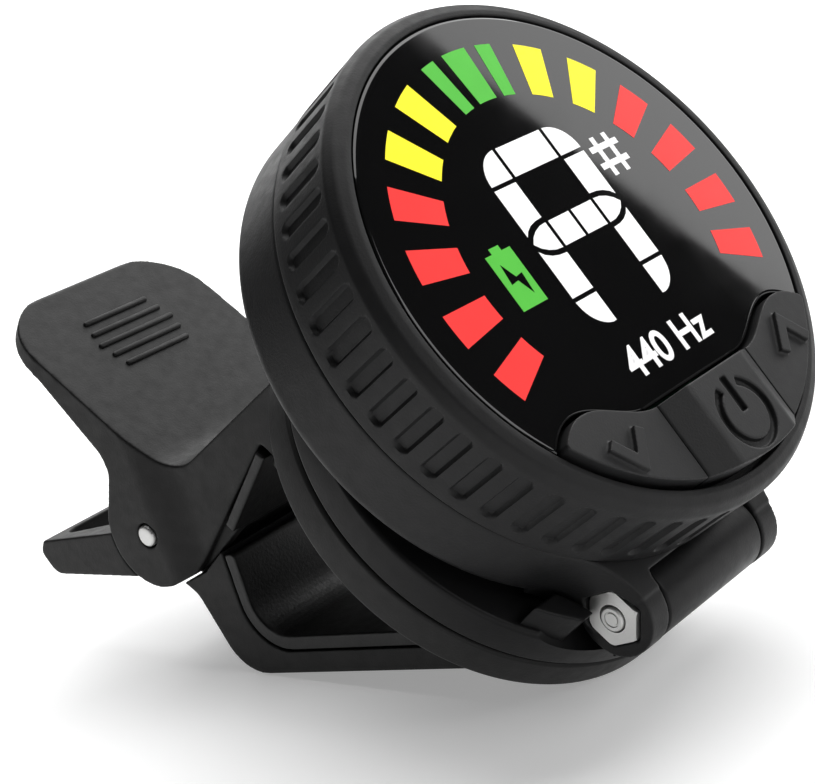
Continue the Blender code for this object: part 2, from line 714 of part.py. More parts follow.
def looks():
    return {
        "shell": material("matte_shell", (0.020, 0.020, 0.021), 0.55),
        "clip": material("clip_plastic", (0.022, 0.022, 0.023), 0.5),
        "barrel": material("satin_plastic", (0.016, 0.016, 0.017), 0.38),
        "keys": material("key_rubber", (0.028, 0.028, 0.030), 0.6),
        "pad": material("pad_rubber", (0.035, 0.035, 0.036), 0.75),
        "lens": material("smoked_lens", (0.004, 0.004, 0.004), 0.06),
        "display": material("display", (0.02, 0.02, 0.02), 0.3),
        "board": material("board_green", (0.02, 0.12, 0.05), 0.45),
        "cell": material("cell_foil", (0.55, 0.56, 0.58), 0.35, 0.8),
        "brass": material("sensor_brass", (0.70, 0.52, 0.22), 0.3, 1.0),
        "steel": material("bright_steel", (0.72, 0.72, 0.73), 0.25, 1.0),
        "spring": material("spring_steel", (0.45, 0.45, 0.47), 0.35, 1.0),
        "switch": material("switch_black", (0.03, 0.03, 0.03), 0.5),
    }


def head_parts(look, axis):
    """Everything that tilts with the head; the axis empty is on the hinge screw."""
    offset = (-HINGE_IN_HEAD[0], 0.0, -HINGE_IN_HEAD[1])
    finish(bezel(), "bezel", look["shell"], axis, offset)
    finish(rear_cover(), "rear_cover", look["shell"], axis, offset)
    lens = prism(round_part(LENS_R, -0.05, 72), -LENS_T, 0, "XY")
    finish(lens, "lens", look["lens"], axis, offset)
    panel = prism(round_part(18.6, -0.9, 60), -2.9, -LENS_T - GAP, "XY")
    finish(panel, "display_panel", look["display"], axis, offset)
    finish(circuit_board(), "circuit_board", look["board"], axis, offset)
    cell = rounded([(-14, -10, 1.5), (5.5, -10, 1.5), (5.5, 10, 1.5), (-14, 10, 1.5)])
    finish(prism(cell, -12.5, -8.6, "XY"), "battery", look["cell"], axis, offset)
    finish(bar((11.5, 0), 4.5, -12.65, -12.2, "Z", 32), "vibration_sensor", look["brass"], axis, offset)
    finish(charge_socket(), "charge_socket", look["steel"], axis, offset)
    finish(hinge_screw(), "hinge_screw", look["steel"], axis, offset)
    finish(hinge_nut(), "hinge_nut", look["steel"], axis, offset)
    for i, place in enumerate(post_places()):
        finish(case_screw(place), f"case_screw_{i + 1}", look["steel"], axis, offset)
    for name, place in STEMS.items():
        finish(switch(place), name.replace("key", "switch"), look["switch"], axis, offset)
        cap = moved(key_cap(name), Matrix.Translation(Vector((-place[0], -place[1], 0)) * MM))
        finish(cap, name, look["keys"], axis, (offset[0] + place[0], place[1], offset[2]))


def swivel_parts(look, axis):
    finish(swivel_disc(), "swivel_disc", look["barrel"], axis)


def jaw_parts(look, axis):
    """Everything that turns with the upper jaw; the axis empty is on the clip's pin."""
    offset = (-PIN[0], 0.0, -PIN[1])
    finish(upper_jaw(), "upper_jaw", look["clip"], axis, offset)
    finish(upper_pad(), "upper_pad", look["pad"], axis, offset)
    finish(moved(swivel_screw(), plate_matrix()), "swivel_screw", look["steel"], axis, offset)
    nut = ring(2.55, 1.35, -9.6, -8.1, 6)
    finish(moved(nut, plate_matrix()), "swivel_nut", look["steel"], axis, offset)


def base_parts(look, base):
    finish(lower_jaw(), "lower_jaw", look["clip"], base)
    finish(lower_pad(), "lower_pad", look["pad"], base)
    finish(clip_pin(), "clip_pin", look["steel"], base)
    finish(torsion_spring(), "torsion_spring", look["spring"], base)


def main():
    clear_scene()
    look = looks()
    base = empty("table", None, (TABLE_X, 0, TABLE_Z), -TABLE_TILT)
    pin_axis = empty("pin_axis", base, (PIN[0], 0, PIN[1]), 0.0)
    seam = on_plate(0, FLANGE_T)
    swivel_axis = empty("swivel_axis", pin_axis, (seam[0] - PIN[0], 0, seam[1] - PIN[1]), PLATE_TILT)
    hinge_x, hinge_z = HINGE_ON_PLATE
    head_axis = empty("head_axis", swivel_axis, (hinge_x, 0, hinge_z), HEAD_TILT - PLATE_TILT)
    base_parts(look, base)
    jaw_parts(look, pin_axis)
    swivel_parts(look, swivel_axis)
    head_parts(look, head_axis)


main()
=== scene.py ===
"""Looks of the clip-on tuner: detailed moulded pieces, display, hardware, studio.

Pieces are drawn in millimetres in the clip, plate or head frame, and placed in the row frame in metres.
- Clip frame: X from the finger levers to the jaw tips, Y along the pins, Z square to the lower jaw.
- Plate frame: origin at the swivel seam's centre, x down the plate to the head's hinge, z out of it.
- Head frame: origin at the lens's centre, x from the centre to the keys, y to the right, z out of the face.
"""

import math

import bmesh
import bpy
from mathutils import Matrix, Vector


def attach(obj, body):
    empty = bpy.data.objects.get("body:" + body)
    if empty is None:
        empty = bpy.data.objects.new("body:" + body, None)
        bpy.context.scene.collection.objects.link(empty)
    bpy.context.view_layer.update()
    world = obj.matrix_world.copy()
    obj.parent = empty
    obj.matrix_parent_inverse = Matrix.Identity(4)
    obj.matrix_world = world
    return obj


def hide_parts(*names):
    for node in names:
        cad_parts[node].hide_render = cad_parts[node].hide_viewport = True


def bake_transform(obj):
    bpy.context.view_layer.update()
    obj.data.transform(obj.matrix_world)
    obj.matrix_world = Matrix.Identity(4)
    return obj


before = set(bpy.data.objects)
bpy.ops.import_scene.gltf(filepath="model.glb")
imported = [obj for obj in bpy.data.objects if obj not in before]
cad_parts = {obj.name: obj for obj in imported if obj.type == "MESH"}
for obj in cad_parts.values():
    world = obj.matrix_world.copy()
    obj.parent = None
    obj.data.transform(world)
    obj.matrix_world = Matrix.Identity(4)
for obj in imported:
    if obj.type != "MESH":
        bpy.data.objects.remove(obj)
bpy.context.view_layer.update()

MM = 0.001

# ---------------------------------------------------------------- the part's frames and dimensions

PIN = (-48.63, 14.01)
PLATE_BASE = (-17.85, 12.7)
PLATE_TILT = math.radians(60.7)
HEAD_TILT = math.radians(66.7)
FLANGE_R = 19.05
FLANGE_T = 3.3
SEAM_GAP = 0.2
DISC_T = 3.3
DISC_TOP = SEAM_GAP + DISC_T
CHEEK_TOP = 5.8
CHEEK_X = (12.0, 14.8)
BARREL_R = 3.2
BARREL_HALF = 6.6
ARM_CLEAR_R = 3.85
HINGE_ON_PLATE = (16.0, 6.3)
HINGE = (23.0, -11.7)
HEAD_R = 21.8
COVER_R = 21.7
LENS_R = 20.0
LENS_T = 1.2
PARTING_Z = -8.2
HEAD_BACK_Z = -14.4
COVER_SCREW_Z = -13.5
FLUTE_COUNT = 54
FLUTE_Z = (-7.0, -1.7)
FLUTE_W = 1.25
FLUTE_DEPTH = 0.35
ARM_R = 3.25
ARM_HALF = 9.0
FLARE_R = 8.0
KEY_R = 19.7
KEY_EDGE_X = 12.4
KEY_CREST = (12.9, 10.1)
KEY_SPLIT = 6.0
KEY_FLAT = 3.6
SIDE_KEY_Z = 0.75
POWER_KEY_Z = 2.1
LEVER_HALF = 10.8
JAW_HALF = 9.8
CHEEK_IN = 7.8
BOSS_R = 5.0
KNUCKLE_HALF = 7.5
SPRING_HALF = 4.7
LEVER_END = (-59.2, 36.1)
LEVER_SLOPE = math.atan(1.073)
THROAT_DEPTH = 8.35
JAW_CORNER_R = 3.0
JAW_CORNER = (-41.52, JAW_CORNER_R)
PAD_T = 1.3
PAD_SEAT_HALF = 8.9
SHORT_LEG = 9.3
SHORT_LEG_T = 0.75
SHORT_LEG_PROUD = 0.3
WEB = (6.0, -42)
WEB_FOOT = -75.6
CHEEK_STEP = 9.0
LOWER_PAD_TOP = 3.4
GAP = 0.15
TABLE_X = 29.08


def on_plate(along, out):
    """Clip-frame point from a distance down the plate and a height above the flange's base."""
    c, s = math.cos(PLATE_TILT), math.sin(PLATE_TILT)
    return (PLATE_BASE[0] + along * c + out * s, PLATE_BASE[1] - along * s + out * c)


def shifted(x, y, z):
    return Matrix.Translation((x, y, z))


def turned_about_y(angle):
    return Matrix.Rotation(angle, 4, "Y")


FOOT = on_plate(FLANGE_R, 0)
RUN, DROP = FOOT[0] - JAW_CORNER[0], JAW_CORNER[1] - FOOT[1]
TABLE_TILT = math.atan2(DROP, RUN) - math.asin(JAW_CORNER_R / math.hypot(RUN, DROP))
TABLE_Z = -(FOOT[0] * math.sin(TABLE_TILT) + FOOT[1] * math.cos(TABLE_TILT))
SEAM = on_plate(0, FLANGE_T)
CLIP = shifted(TABLE_X, 0, TABLE_Z) @ turned_about_y(-TABLE_TILT)
PLATE_IN_CLIP = shifted(SEAM[0], 0, SEAM[1]) @ turned_about_y(PLATE_TILT)
PLATE = CLIP @ PLATE_IN_CLIP
HEAD = PLATE @ shifted(HINGE_ON_PLATE[0], 0, HINGE_ON_PLATE[1])
HEAD = HEAD @ turned_about_y(HEAD_TILT - PLATE_TILT) @ shifted(-HINGE[0], 0, -HINGE[1])


# ---------------------------------------------------------------- outlines

def arc(centre, radius, start, end, steps):
    points = []
    for i in range(steps + 1):
        a = math.radians(start + (end - start) * i / steps)
        points.append((centre[0] + radius * math.cos(a), centre[1] + radius * math.sin(a)))
    return points


def rounded(corners, steps=8):
    """Outline through (u, v, r) corners, each one rounded to radius r."""
    points = []
    count = len(corners)
    for i in range(count):
        u, v, r = corners[i]
        here = Vector((u, v))
        if r == 0:
            points.append((u, v))
            continue
        back = (Vector(corners[i - 1][:2]) - here).normalized()
        ahead = (Vector(corners[(i + 1) % count][:2]) - here).normalized()
        half = back.angle(ahead) / 2
        centre = here + (back + ahead).normalized() * (r / math.sin(half))
        first = here + back * (r / math.tan(half)) - centre
        last = here + ahead * (r / math.tan(half)) - centre
        turn = first.angle_signed(last)
        for k in range(steps + 1):
            points.append(tuple(centre + Matrix.Rotation(-turn * k / steps, 2) @ first))
    return points


def polar(centre, radius, degrees):
    a = math.radians(degrees)
    return (centre[0] + radius * math.cos(a), centre[1] + radius * math.sin(a))


def stroke(points, width):
    """Outline of a line of one width through points, with mitred corners and square ends."""
    left, right = [], []
    last = len(points) - 1
    for i, p in enumerate(points):
        here = Vector(p)
        back = (here - Vector(points[i - 1])).normalized() if i else None
        ahead = (Vector(points[i + 1]) - here).normalized() if i < last else None
        back, ahead = back or ahead, ahead or back
        along = (back + ahead).normalized()
        side = Vector((-along.y, along.x))
        reach = width / 2 / max(0.3, side.dot(Vector((-ahead.y, ahead.x))))
        left.append(tuple(here + side * reach))
        right.append(tuple(here - side * reach))
    return left + right[::-1]


# ---------------------------------------------------------------- solids, in millimetres

def mesh_object(name, bm):
    bmesh.ops.recalc_face_normals(bm, faces=bm.faces)
    mesh = bpy.data.meshes.new(name)
    bm.to_mesh(mesh)
    bm.free()
    obj = bpy.data.objects.new(name, mesh)
    bpy.context.scene.collection.objects.link(obj)
    return obj


PLANES = {
    "XZ": lambda u, v, w: (u, w, v),
    "XY": lambda u, v, w: (u, v, w),
    "YZ": lambda u, v, w: (w, u, v),
}


def prism(outline, low, high, plane="XZ", name="prism"):
    """Extrude an outline along the axis that is square to its plane."""
    bm = bmesh.new()
    rings = []
    for w in (low, high):
        rings.append([bm.verts.new(PLANES[plane](u, v, w)) for u, v in outline])
    bm.faces.new(rings[0])
    bm.faces.new(reversed(rings[1]))
    for i in range(len(outline)):
        j = (i + 1) % len(outline)
        bm.faces.new((rings[0][i], rings[0][j], rings[1][j], rings[1][i]))
    return mesh_object(name, bm)


def bar(centre, radius, low, high, axis="Y", steps=96):
    return prism(arc(centre, radius, 0, 360, steps)[:-1], low, high, "XZ" if axis == "Y" else "XY")


def lathe(profile, steps, name="lathe", shape=None, closed=True):
    """Revolve (r, z) points about Z. shape(angle, r, z) may move a point's radius."""
    bm = bmesh.new()
    rings = []
    for i in range(steps):
        a = 2 * math.pi * i / steps
        ring = []
        for r, z in profile:
            reach = shape(a, r, z) if shape else r
            ring.append(bm.verts.new((reach * math.cos(a), reach * math.sin(a), z)))
        rings.append(ring)
    count = len(profile)
    for i in range(steps):
        ring, following = rings[i], rings[(i + 1) % steps]
        for k in range(count if closed else count - 1):
            m = (k + 1) % count
            bm.faces.new((ring[k], ring[m], following[m], following[k]))
    if not closed:
        bm.faces.new([ring[0] for ring in rings])
        bm.faces.new([ring[-1] for ring in reversed(rings)])
    return mesh_object(name, bm)


def wire(path, radius, sides=20, name="wire"):
    """Round wire swept along a path, with flat ends."""
    bm = bmesh.new()
    rings = []
    last = len(path) - 1
    for i, point in enumerate(path):
        ahead = (path[min(i + 1, last)] - path[max(i - 1, 0)]).normalized()
        side = ahead.cross(Vector((0.12, 0.97, 0.21))).normalized()
        up = side.cross(ahead)
        ring = []
        for k in range(sides):
            a = 2 * math.pi * k / sides
            ring.append(bm.verts.new(point + radius * (math.cos(a) * side + math.sin(a) * up)))
        rings.append(ring)
    for ring, following in zip(rings, rings[1:]):
        for k in range(sides):
            m = (k + 1) % sides
            bm.faces.new((ring[k], ring[m], following[m], following[k]))
    bm.faces.new(rings[0])
    bm.faces.new(reversed(rings[-1]))
    return mesh_object(name, bm)


def settle(obj):
    """Apply the modifiers of an object."""
    bpy.context.view_layer.update()
    graph = bpy.context.evaluated_depsgraph_get()
    result = bpy.data.meshes.new_from_object(obj.evaluated_get(graph))
    obj.modifiers.clear()
    obj.data = result
    return obj


def combine(body, others, operation):
    for tool in others:
        step = body.modifiers.new(operation.lower(), "BOOLEAN")
        step.operation = operation
        step.solver = "EXACT"
        step.object = tool
    settle(body)
    for tool in others:
        bpy.data.objects.remove(tool)
    return body


def cut(body, *tools):
    return combine(body, tools, "DIFFERENCE")


def join(body, *tools):
    return combine(body, tools, "UNION")


def keep_inside(body, *tools):
    return combine(body, tools, "INTERSECT")


def moved(obj, matrix):
    obj.data.transform(matrix)
    return obj


def soften(obj, voxel, rounds, keep=1.0):
    """Turn a sharp solid into a moulding with small fillets on every edge."""
    grid = obj.modifiers.new("grid", "REMESH")
    grid.mode = "VOXEL"
    grid.voxel_size = voxel * 1.0
    blur = obj.modifiers.new("blur", "SMOOTH")
    blur.factor = 0.5
    blur.iterations = rounds
    if keep < 1.0:
        thin = obj.modifiers.new("thin", "DECIMATE")
        thin.ratio = keep
    return settle(obj)


def merged(name, parts):
    """One object that holds the meshes of several."""
    bm = bmesh.new()
    for part in parts:
        bm.from_mesh(part.data)
        bpy.data.objects.remove(part)
    return mesh_object(name, bm)


def place(obj, name, matrix, body, look, replaces=(), angle=40):
    """Scale a piece to metres, put it in the row frame and hang it on its body, if it has one."""
    obj.data.transform(Matrix.Scale(MM, 4) @ matrix)
    obj.name = name
    obj.data.name = name
    obj.data.materials.clear()
    obj.data.materials.append(look)
    obj.data.shade_smooth()
    if angle:
        obj.data.set_sharp_from_angle(angle=math.radians(angle))
    if body:
        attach(obj, body)
    if replaces:
        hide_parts(*replaces)
    return obj


# ---------------------------------------------------------------- materials

def shader_of(name):
    mat = bpy.data.materials.new(name)
    mat.use_nodes = True
    return mat, mat.node_tree, mat.node_tree.nodes["Principled BSDF"]


def noise(tree, coords, scale, detail=3.0, rough=0.5):
    node = tree.nodes.new("ShaderNodeTexNoise")
    node.inputs["Scale"].default_value = scale
    node.inputs["Detail"].default_value = detail
    node.inputs["Roughness"].default_value = rough
    tree.links.new(coords, node.inputs["Vector"])
    return node.outputs["Fac"]


def mapped(tree, value, low, high, start=0.3, end=0.7):
    node = tree.nodes.new("ShaderNodeMapRange")
    node.inputs["From Min"].default_value = start
    node.inputs["From Max"].default_value = end
    node.inputs["To Min"].default_value = low
    node.inputs["To Max"].default_value = high
    tree.links.new(value, node.inputs["Value"])
    return node.outputs["Result"]


def blended(tree, factor, a, b):
    node = tree.nodes.new("ShaderNodeMix")
    node.data_type = "RGBA"
    node.inputs[6].default_value = (*a, 1.0)
    node.inputs[7].default_value = (*b, 1.0)
    tree.links.new(factor, node.inputs[0])
    return node.outputs[2]


def bump(tree, shader, height, distance, strength=1.0):
    node = tree.nodes.new("ShaderNodeBump")
    node.inputs["Distance"].default_value = distance
    node.inputs["Strength"].default_value = strength
    tree.links.new(height, node.inputs["Height"])
    tree.links.new(node.outputs["Normal"], shader.inputs["Normal"])


def coords_of(tree, stretch=(1.0, 1.0, 1.0)):
    source = tree.nodes.new("ShaderNodeTexCoord")
    scale = tree.nodes.new("ShaderNodeMapping")
    scale.inputs["Scale"].default_value = stretch
    tree.links.new(source.outputs["Object"], scale.inputs["Vector"])
    return scale.outputs["Vector"]


def moulded(name, dark, light, rough, grain=5200.0, depth=0.000018, patch=160.0, specular=0.5):
    """Spark-eroded moulded plastic or rubber: fine grain, soft tone patches, uneven roughness."""
    mat, tree, shader = shader_of(name)
    coords = coords_of(tree)
    patches = noise(tree, coords, patch, 4.0, 0.6)
    tree.links.new(blended(tree, patches, dark, light), shader.inputs["Base Color"])
    tree.links.new(mapped(tree, noise(tree, coords, patch * 6, 5.0), rough - 0.05, rough + 0.06),
                   shader.inputs["Roughness"])
    shader.inputs["Specular IOR Level"].default_value = specular
    bump(tree, shader, noise(tree, coords, grain, 2.0, 0.55), depth)
    return mat


def metal(name, dark, light, rough, stretch, grain=900.0, depth=0.000004):
    """Plated or turned metal with tool marks along one direction."""
    mat, tree, shader = shader_of(name)
    coords = coords_of(tree, stretch)
    marks = noise(tree, coords, grain, 3.0, 0.6)
    tree.links.new(blended(tree, marks, dark, light), shader.inputs["Base Color"])
    tree.links.new(mapped(tree, marks, rough - 0.06, rough + 0.08), shader.inputs["Roughness"])
    shader.inputs["Metallic"].default_value = 1.0
    bump(tree, shader, marks, depth)
    return mat


def lit(name, colour, glow, shade=0.6):
    """Lit dial segment under a gloss surface, with painted shade that darkens it towards its edges."""
    mat, tree, shader = shader_of(name)
    inner = tree.nodes.new("ShaderNodeAttribute")
    inner.attribute_name = "inner"
    uneven = mapped(tree, noise(tree, coords_of(tree), 420.0, 2.0), 0.86, 1.0)
    level = tree.nodes.new("ShaderNodeMath")
    level.operation = "MULTIPLY"
    tree.links.new(inner.outputs["Fac"], level.inputs[0])
    tree.links.new(uneven, level.inputs[1])
    # painted shade: towards the segment's edges, where inner falls to 0, the tint drops to shade times the
    # colour, in base colour and glow alike
    painted_edge_shade = tuple(c * shade for c in colour)
    tint = blended(tree, level.outputs["Value"], painted_edge_shade, colour)
    tree.links.new(tint, shader.inputs["Base Color"])
    tree.links.new(tint, shader.inputs["Emission Color"])
    shader.inputs["Emission Strength"].default_value = glow
    shader.inputs["Roughness"].default_value = 0.2
    shader.inputs["Specular IOR Level"].default_value = 0.12
    return mat


LOOK = {
    "shell": moulded("shell_plastic", (0.006, 0.006, 0.0063), (0.010, 0.010, 0.0104), 0.50, specular=0.20),
    "cover": moulded("cover_plastic", (0.006, 0.006, 0.0063), (0.010, 0.010, 0.0104), 0.46, specular=0.20),
    "clip": moulded("clip_plastic", (0.007, 0.007, 0.007), (0.011, 0.011, 0.011), 0.50, specular=0.20),
    "barrel": moulded("disc_plastic", (0.004, 0.004, 0.0043), (0.006, 0.006, 0.0063), 0.40, 4600.0, 0.000010,
                      specular=0.15),
    "keys": moulded("key_rubber", (0.009, 0.009, 0.0094), (0.014, 0.014, 0.0145), 0.50, 6400.0, 0.000010,
                    specular=0.26),
    "pad": moulded("pad_rubber", (0.005, 0.005, 0.005), (0.009, 0.009, 0.009), 0.42, 3800.0, 0.000022,
                   specular=0.30),
    "steel": metal("bright_steel", (0.62, 0.62, 0.63), (0.80, 0.80, 0.81), 0.22, (1.0, 1.0, 1.0), 700.0),
    "nut": metal("plated_nut", (0.55, 0.55, 0.54), (0.68, 0.68, 0.67), 0.46, (1.0, 1.0, 1.0), 1500.0),
    "spring": metal("spring_steel", (0.34, 0.34, 0.36), (0.52, 0.52, 0.54), 0.30, (1.0, 0.2, 1.0)),
    "brass": metal("sensor_brass", (0.58, 0.40, 0.16), (0.76, 0.58, 0.27), 0.28, (0.2, 1.0, 0.2)),
    "cell": metal("cell_foil", (0.46, 0.47, 0.49), (0.62, 0.63, 0.65), 0.34, (0.3, 1.0, 1.0), 300.0, 0.00003),
    "board": moulded("board_mask", (0.012, 0.085, 0.035), (0.02, 0.13, 0.055), 0.35, 900.0, 0.000006),
    "switch": moulded("switch_plastic", (0.02, 0.02, 0.02), (0.034, 0.034, 0.034), 0.45),
    # lit dial segments: each one glows, with painted shade darkening it towards its edges
    "green": lit("dial_green", (0.085, 0.42, 0.055), 0.36),
    "yellow": lit("dial_yellow", (0.86, 0.78, 0.035), 0.35),
    "red": lit("dial_red", (0.80, 0.046, 0.044), 0.33),
    "white": lit("dial_white", (0.84, 0.84, 0.84), 0.28, 0.72),
}


def printed(name, colour, glow):
    """Lit lettering and signs that are too fine to carry the painted edge shade of the dial segments."""
    mat, tree, shader = shader_of(name)
    uneven = noise(tree, coords_of(tree), 900.0, 2.0)
    tint = blended(tree, uneven, tuple(c * 0.9 for c in colour), colour)
    tree.links.new(tint, shader.inputs["Base Color"])
    tree.links.new(tint, shader.inputs["Emission Color"])
    shader.inputs["Emission Strength"].default_value = glow
    shader.inputs["Roughness"].default_value = 0.2
    shader.inputs["Specular IOR Level"].default_value = 0.12
    return mat


def lens_look():
    """Polished smoked window: near black, with faint haze in its gloss."""
    mat, tree, shader = shader_of("smoked_window")
    coords = coords_of(tree)
    haze = noise(tree, coords, 60.0, 4.0, 0.6)
    tree.links.new(blended(tree, haze, (0.0014, 0.0014, 0.0015), (0.0026, 0.0026, 0.0028)),
                   shader.inputs["Base Color"])
    tree.links.new(mapped(tree, noise(tree, coords, 240.0, 5.0), 0.028, 0.055), shader.inputs["Roughness"])
    shader.inputs["IOR"].default_value = 1.5
    return mat


LOOK["lens"] = lens_look()
LOOK["print"] = printed("dial_print", (0.82, 0.82, 0.82), 0.30)


# ---------------------------------------------------------------- head

def key_edge(y):
    """x of the edge between the lens and the keys."""
    side = abs(y)
    crest_y, crest_x = KEY_CREST
    if side <= KEY_SPLIT:
        return KEY_EDGE_X
    if side <= crest_y:
        t = (side - KEY_SPLIT) / (crest_y - KEY_SPLIT)
        return KEY_EDGE_X + (crest_x - KEY_EDGE_X) * (1 - math.cos(math.pi * t)) / 2
    return crest_x + 0.146 * (side - crest_y) ** 2


def edge_line(y0, y1, offset, steps):
    ys = [y0 + (y1 - y0) * i / steps for i in range(steps + 1)]
    return [(key_edge(y) + offset, y) for y in ys]


def edge_end(radius, offset):
    """y where the edge, moved by offset, meets a circle about the face's centre."""
    low, high = KEY_CREST[0], radius
    for _ in range(40):
        y = (low + high) / 2
        if math.hypot(key_edge(y) + offset, y) < radius:
            low = y
        else:
            high = y
    return low


def round_part(radius, offset, steps):
    y = edge_end(radius, offset)
    start = math.degrees(math.atan2(y, key_edge(y) + offset))
    outline = arc((0, 0), radius, start, 360 - start, steps)
    return outline + edge_line(-y, y, offset, 72)[1:-1]


def lens_outline(inset):
    return round_part(LENS_R - inset, -0.05 - inset, 200)


def build_lens():
    """Window with a polished bevel round its edge."""
    bm = bmesh.new()
    levels = [(0.0, -LENS_T), (0.0, -0.22), (0.05, -0.08), (0.14, -0.02), (0.26, 0.0), (0.32, 0.0),
              (0.7, 0.0)]
    rings = []
    for inset, z in levels:
        rings.append([bm.verts.new((u, v, z)) for u, v in lens_outline(inset)])
    count = len(rings[0])
    for ring, following in zip(rings, rings[1:]):
        for i in range(count):
            j = (i + 1) % count
            bm.faces.new((ring[i], ring[j], following[j], following[i]))
    bm.faces.new(rings[0])
    bm.faces.new(reversed(rings[-1]))
    return mesh_object("lens", bm)


def groove(angle, r, z):
    """Radius of the bezel's wall with its grip recesses."""
    if r < HEAD_R - 0.02 or not FLUTE_Z[0] - 0.4 < z < FLUTE_Z[1] + 0.4:
        return r
    pitch = 2 * math.pi / FLUTE_COUNT
    off = (angle / pitch) % 1.0 - 0.5
    half = FLUTE_W / 2
    u = off * pitch * HEAD_R
    low, high = FLUTE_Z[0] + half, FLUTE_Z[1] - half
    v = z - min(max(z, low), high)
    edge = half - math.hypot(u, v)
    t = min(max((edge + 0.10) / 0.24, 0.0), 1.0)
    return r - FLUTE_DEPTH * t * t * (3 - 2 * t)


def build_bezel():
    """Ring with a soft front lip, grip recesses, and a deck under the keys."""
    lip = rounded([(20.12, -1.6, 0), (20.12, 0.04, 0.12), (20.6, 0.04, 0.5), (21.35, -0.30, 0.7),
                   (HEAD_R, -1.1, 0.7), (HEAD_R, -1.4, 0)], 6)
    wall = [(HEAD_R, -1.5 - 0.14 * i) for i in range(41)]
    foot = rounded([(HEAD_R, -7.4, 0), (HEAD_R, PARTING_Z, 0.18), (20.6, PARTING_Z, 0), (20.6, -1.6, 0)], 5)
    ring = lathe(lip + wall + foot, FLUTE_COUNT * 22, "bezel", groove)
    deck = prism(arc((0, 0), 20.4, -52, 52, 60), -3.2, -1.95, "XY")
    return merged("bezel", [ring, deck])


def post_places():
    return [polar((0, 0), 17.4, a) for a in (62, 180, 298)]


def flare_centre():
    y = ARM_HALF + FLARE_R
    return (math.sqrt((COVER_R + FLARE_R) ** 2 - y ** 2), y)


def flare_outline():
    x, y = flare_centre()
    start = math.degrees(math.atan2(-y, -x)) + 360
    end = 270 - math.degrees(math.asin((x - HINGE[0]) / FLARE_R))
    half = arc((x, y), FLARE_R, start, end, 24)
    inner = [(17.6, half[0][1]), (17.6, -half[0][1])]
    return half[::-1] + inner + [(u, -v) for u, v in half]


def hexagon(flats, low, high):
    return prism(arc(HINGE, flats / math.sqrt(3), 15, 375, 6)[:-1], low, high)


def build_cover():
    """Back shell with the two hinge arms, screw wells and the socket's mouth."""
    seam = PARTING_Z - 0.10
    outline = rounded([(0.0, HEAD_BACK_Z, 0), (COVER_R, HEAD_BACK_Z, 1.0), (COVER_R, seam, 0.2),
                       (0.0, seam, 0)], 8)
    shell = lathe(outline[1:-1], 256, "cover", closed=False)
    shell = cut(shell, bar((0, 0), 20.0, HEAD_BACK_Z + 1.6, -5, "Z", 160))
    block = prism(flare_outline(), HEAD_BACK_Z, seam, "XY")
    body = join(shell, block, bar(HINGE, ARM_R, -ARM_HALF, ARM_HALF))
    x, z = HINGE
    notch = BARREL_HALF + GAP
    body = cut(body, bar(HINGE, 3.55, -notch, notch))
    body = cut(body, prism([(x - 3.55, -16), (27, -16), (27, z), (x - 3.55, z)], -notch, notch))
    body = cut(body, hexagon(4.3, -12, -7.7), bar(HINGE, 2.1, 7.7, 12), bar(HINGE, 1.15, -12, 12, "Y", 48))
    wells = []
    for spot in post_places():
        wells += [bar(spot, 1.9, -15, -13.3, "Z", 48), bar(spot, 0.9, -15, -12, "Z", 32)]
    mouth = rounded([(-4.7, -11.9, 1.5), (4.7, -11.9, 1.5), (4.7, -8.6, 1.5), (-4.7, -8.6, 1.5)])
    body = cut(body, prism(mouth, 18, 24), *wells)
    return soften(body, 0.12, 7, 0.2)


def sector_key(y0, y1, steps, inset=0.0):
    edge = edge_line(y0 + inset, y1 - inset, 0.25 + inset, steps)
    radius = KEY_R - inset
    a0 = math.degrees(math.asin((y0 + inset) / radius))
    a1 = math.degrees(math.asin((y1 - inset) / radius))
    return edge + arc((0, 0), radius, a1, a0, steps)


def chevron(tip, reach):
    """Raised arrow: arms from the tip to both sides. reach is its depth, with its sign."""
    x, y = tip
    return stroke([(x + reach, y - 1.7), (x, y), (x + reach, y + 1.7)], 0.9)


def build_side_key(side):
    """Side key, with a raised chevron, rounded at its edges."""
    split = KEY_SPLIT + 0.05
    end = edge_end(KEY_R - 0.05, 0.25) - 0.1
    y0, y1 = (split, end) if side > 0 else (-end, -split)
    cap = prism(sector_key(y0, y1, 48), -1.4, SIDE_KEY_Z, "XY")
    if side > 0:
        mark = prism(chevron((12.35, 11.1), 2.2), 0.2, SIDE_KEY_Z + 0.45, "XY")
    else:
        mark = prism(chevron((15.35, -11.0), -2.2), 0.2, SIDE_KEY_Z + 0.45, "XY")
    return soften(join(cap, mark), 0.075, 4, 0.35)


def build_power_key():
    """Raised centre key with the stand-by sign sunk in its top."""
    split = KEY_SPLIT - 0.05
    ridge = rounded([(-split, -1.4, 0), (split, -1.4, 0), (split, SIDE_KEY_Z, 0.25),
                     (KEY_FLAT, POWER_KEY_Z, 0.9), (-KEY_FLAT, POWER_KEY_Z, 0.9),
                     (-split, SIDE_KEY_Z, 0.25)], 8)
    cap = prism(ridge, KEY_EDGE_X, KEY_R + 1, "YZ")
    cap = keep_inside(cap, prism(sector_key(-split - 0.1, split + 0.1, 48), -2, 4, "XY"))
    centre = (16.55, 0.0)
    ring = arc(centre, 2.5, 205, 515, 56)
    groove_tools = [
        prism(stroke(ring, 0.68), POWER_KEY_Z - 0.5, 4, "XY"),
        prism(stroke([(13.5, 0), (16.4, 0)], 0.72), POWER_KEY_Z - 0.5, 4, "XY"),
    ]
    return soften(cut(cap, *groove_tools), 0.075, 4, 0.4)


def annular(middle, half, inner=12.88, outer=17.46):
    """Meter segment, with its angle from the top of the dial to the right, in degrees."""
    a, b = middle - half, middle + half
    out = [(-outer * math.cos(math.radians(t)), outer * math.sin(math.radians(t))) for t in spread(a, b, 8)]
    back = [(-inner * math.cos(math.radians(t)), inner * math.sin(math.radians(t))) for t in spread(b, a, 8)]
    return out + back


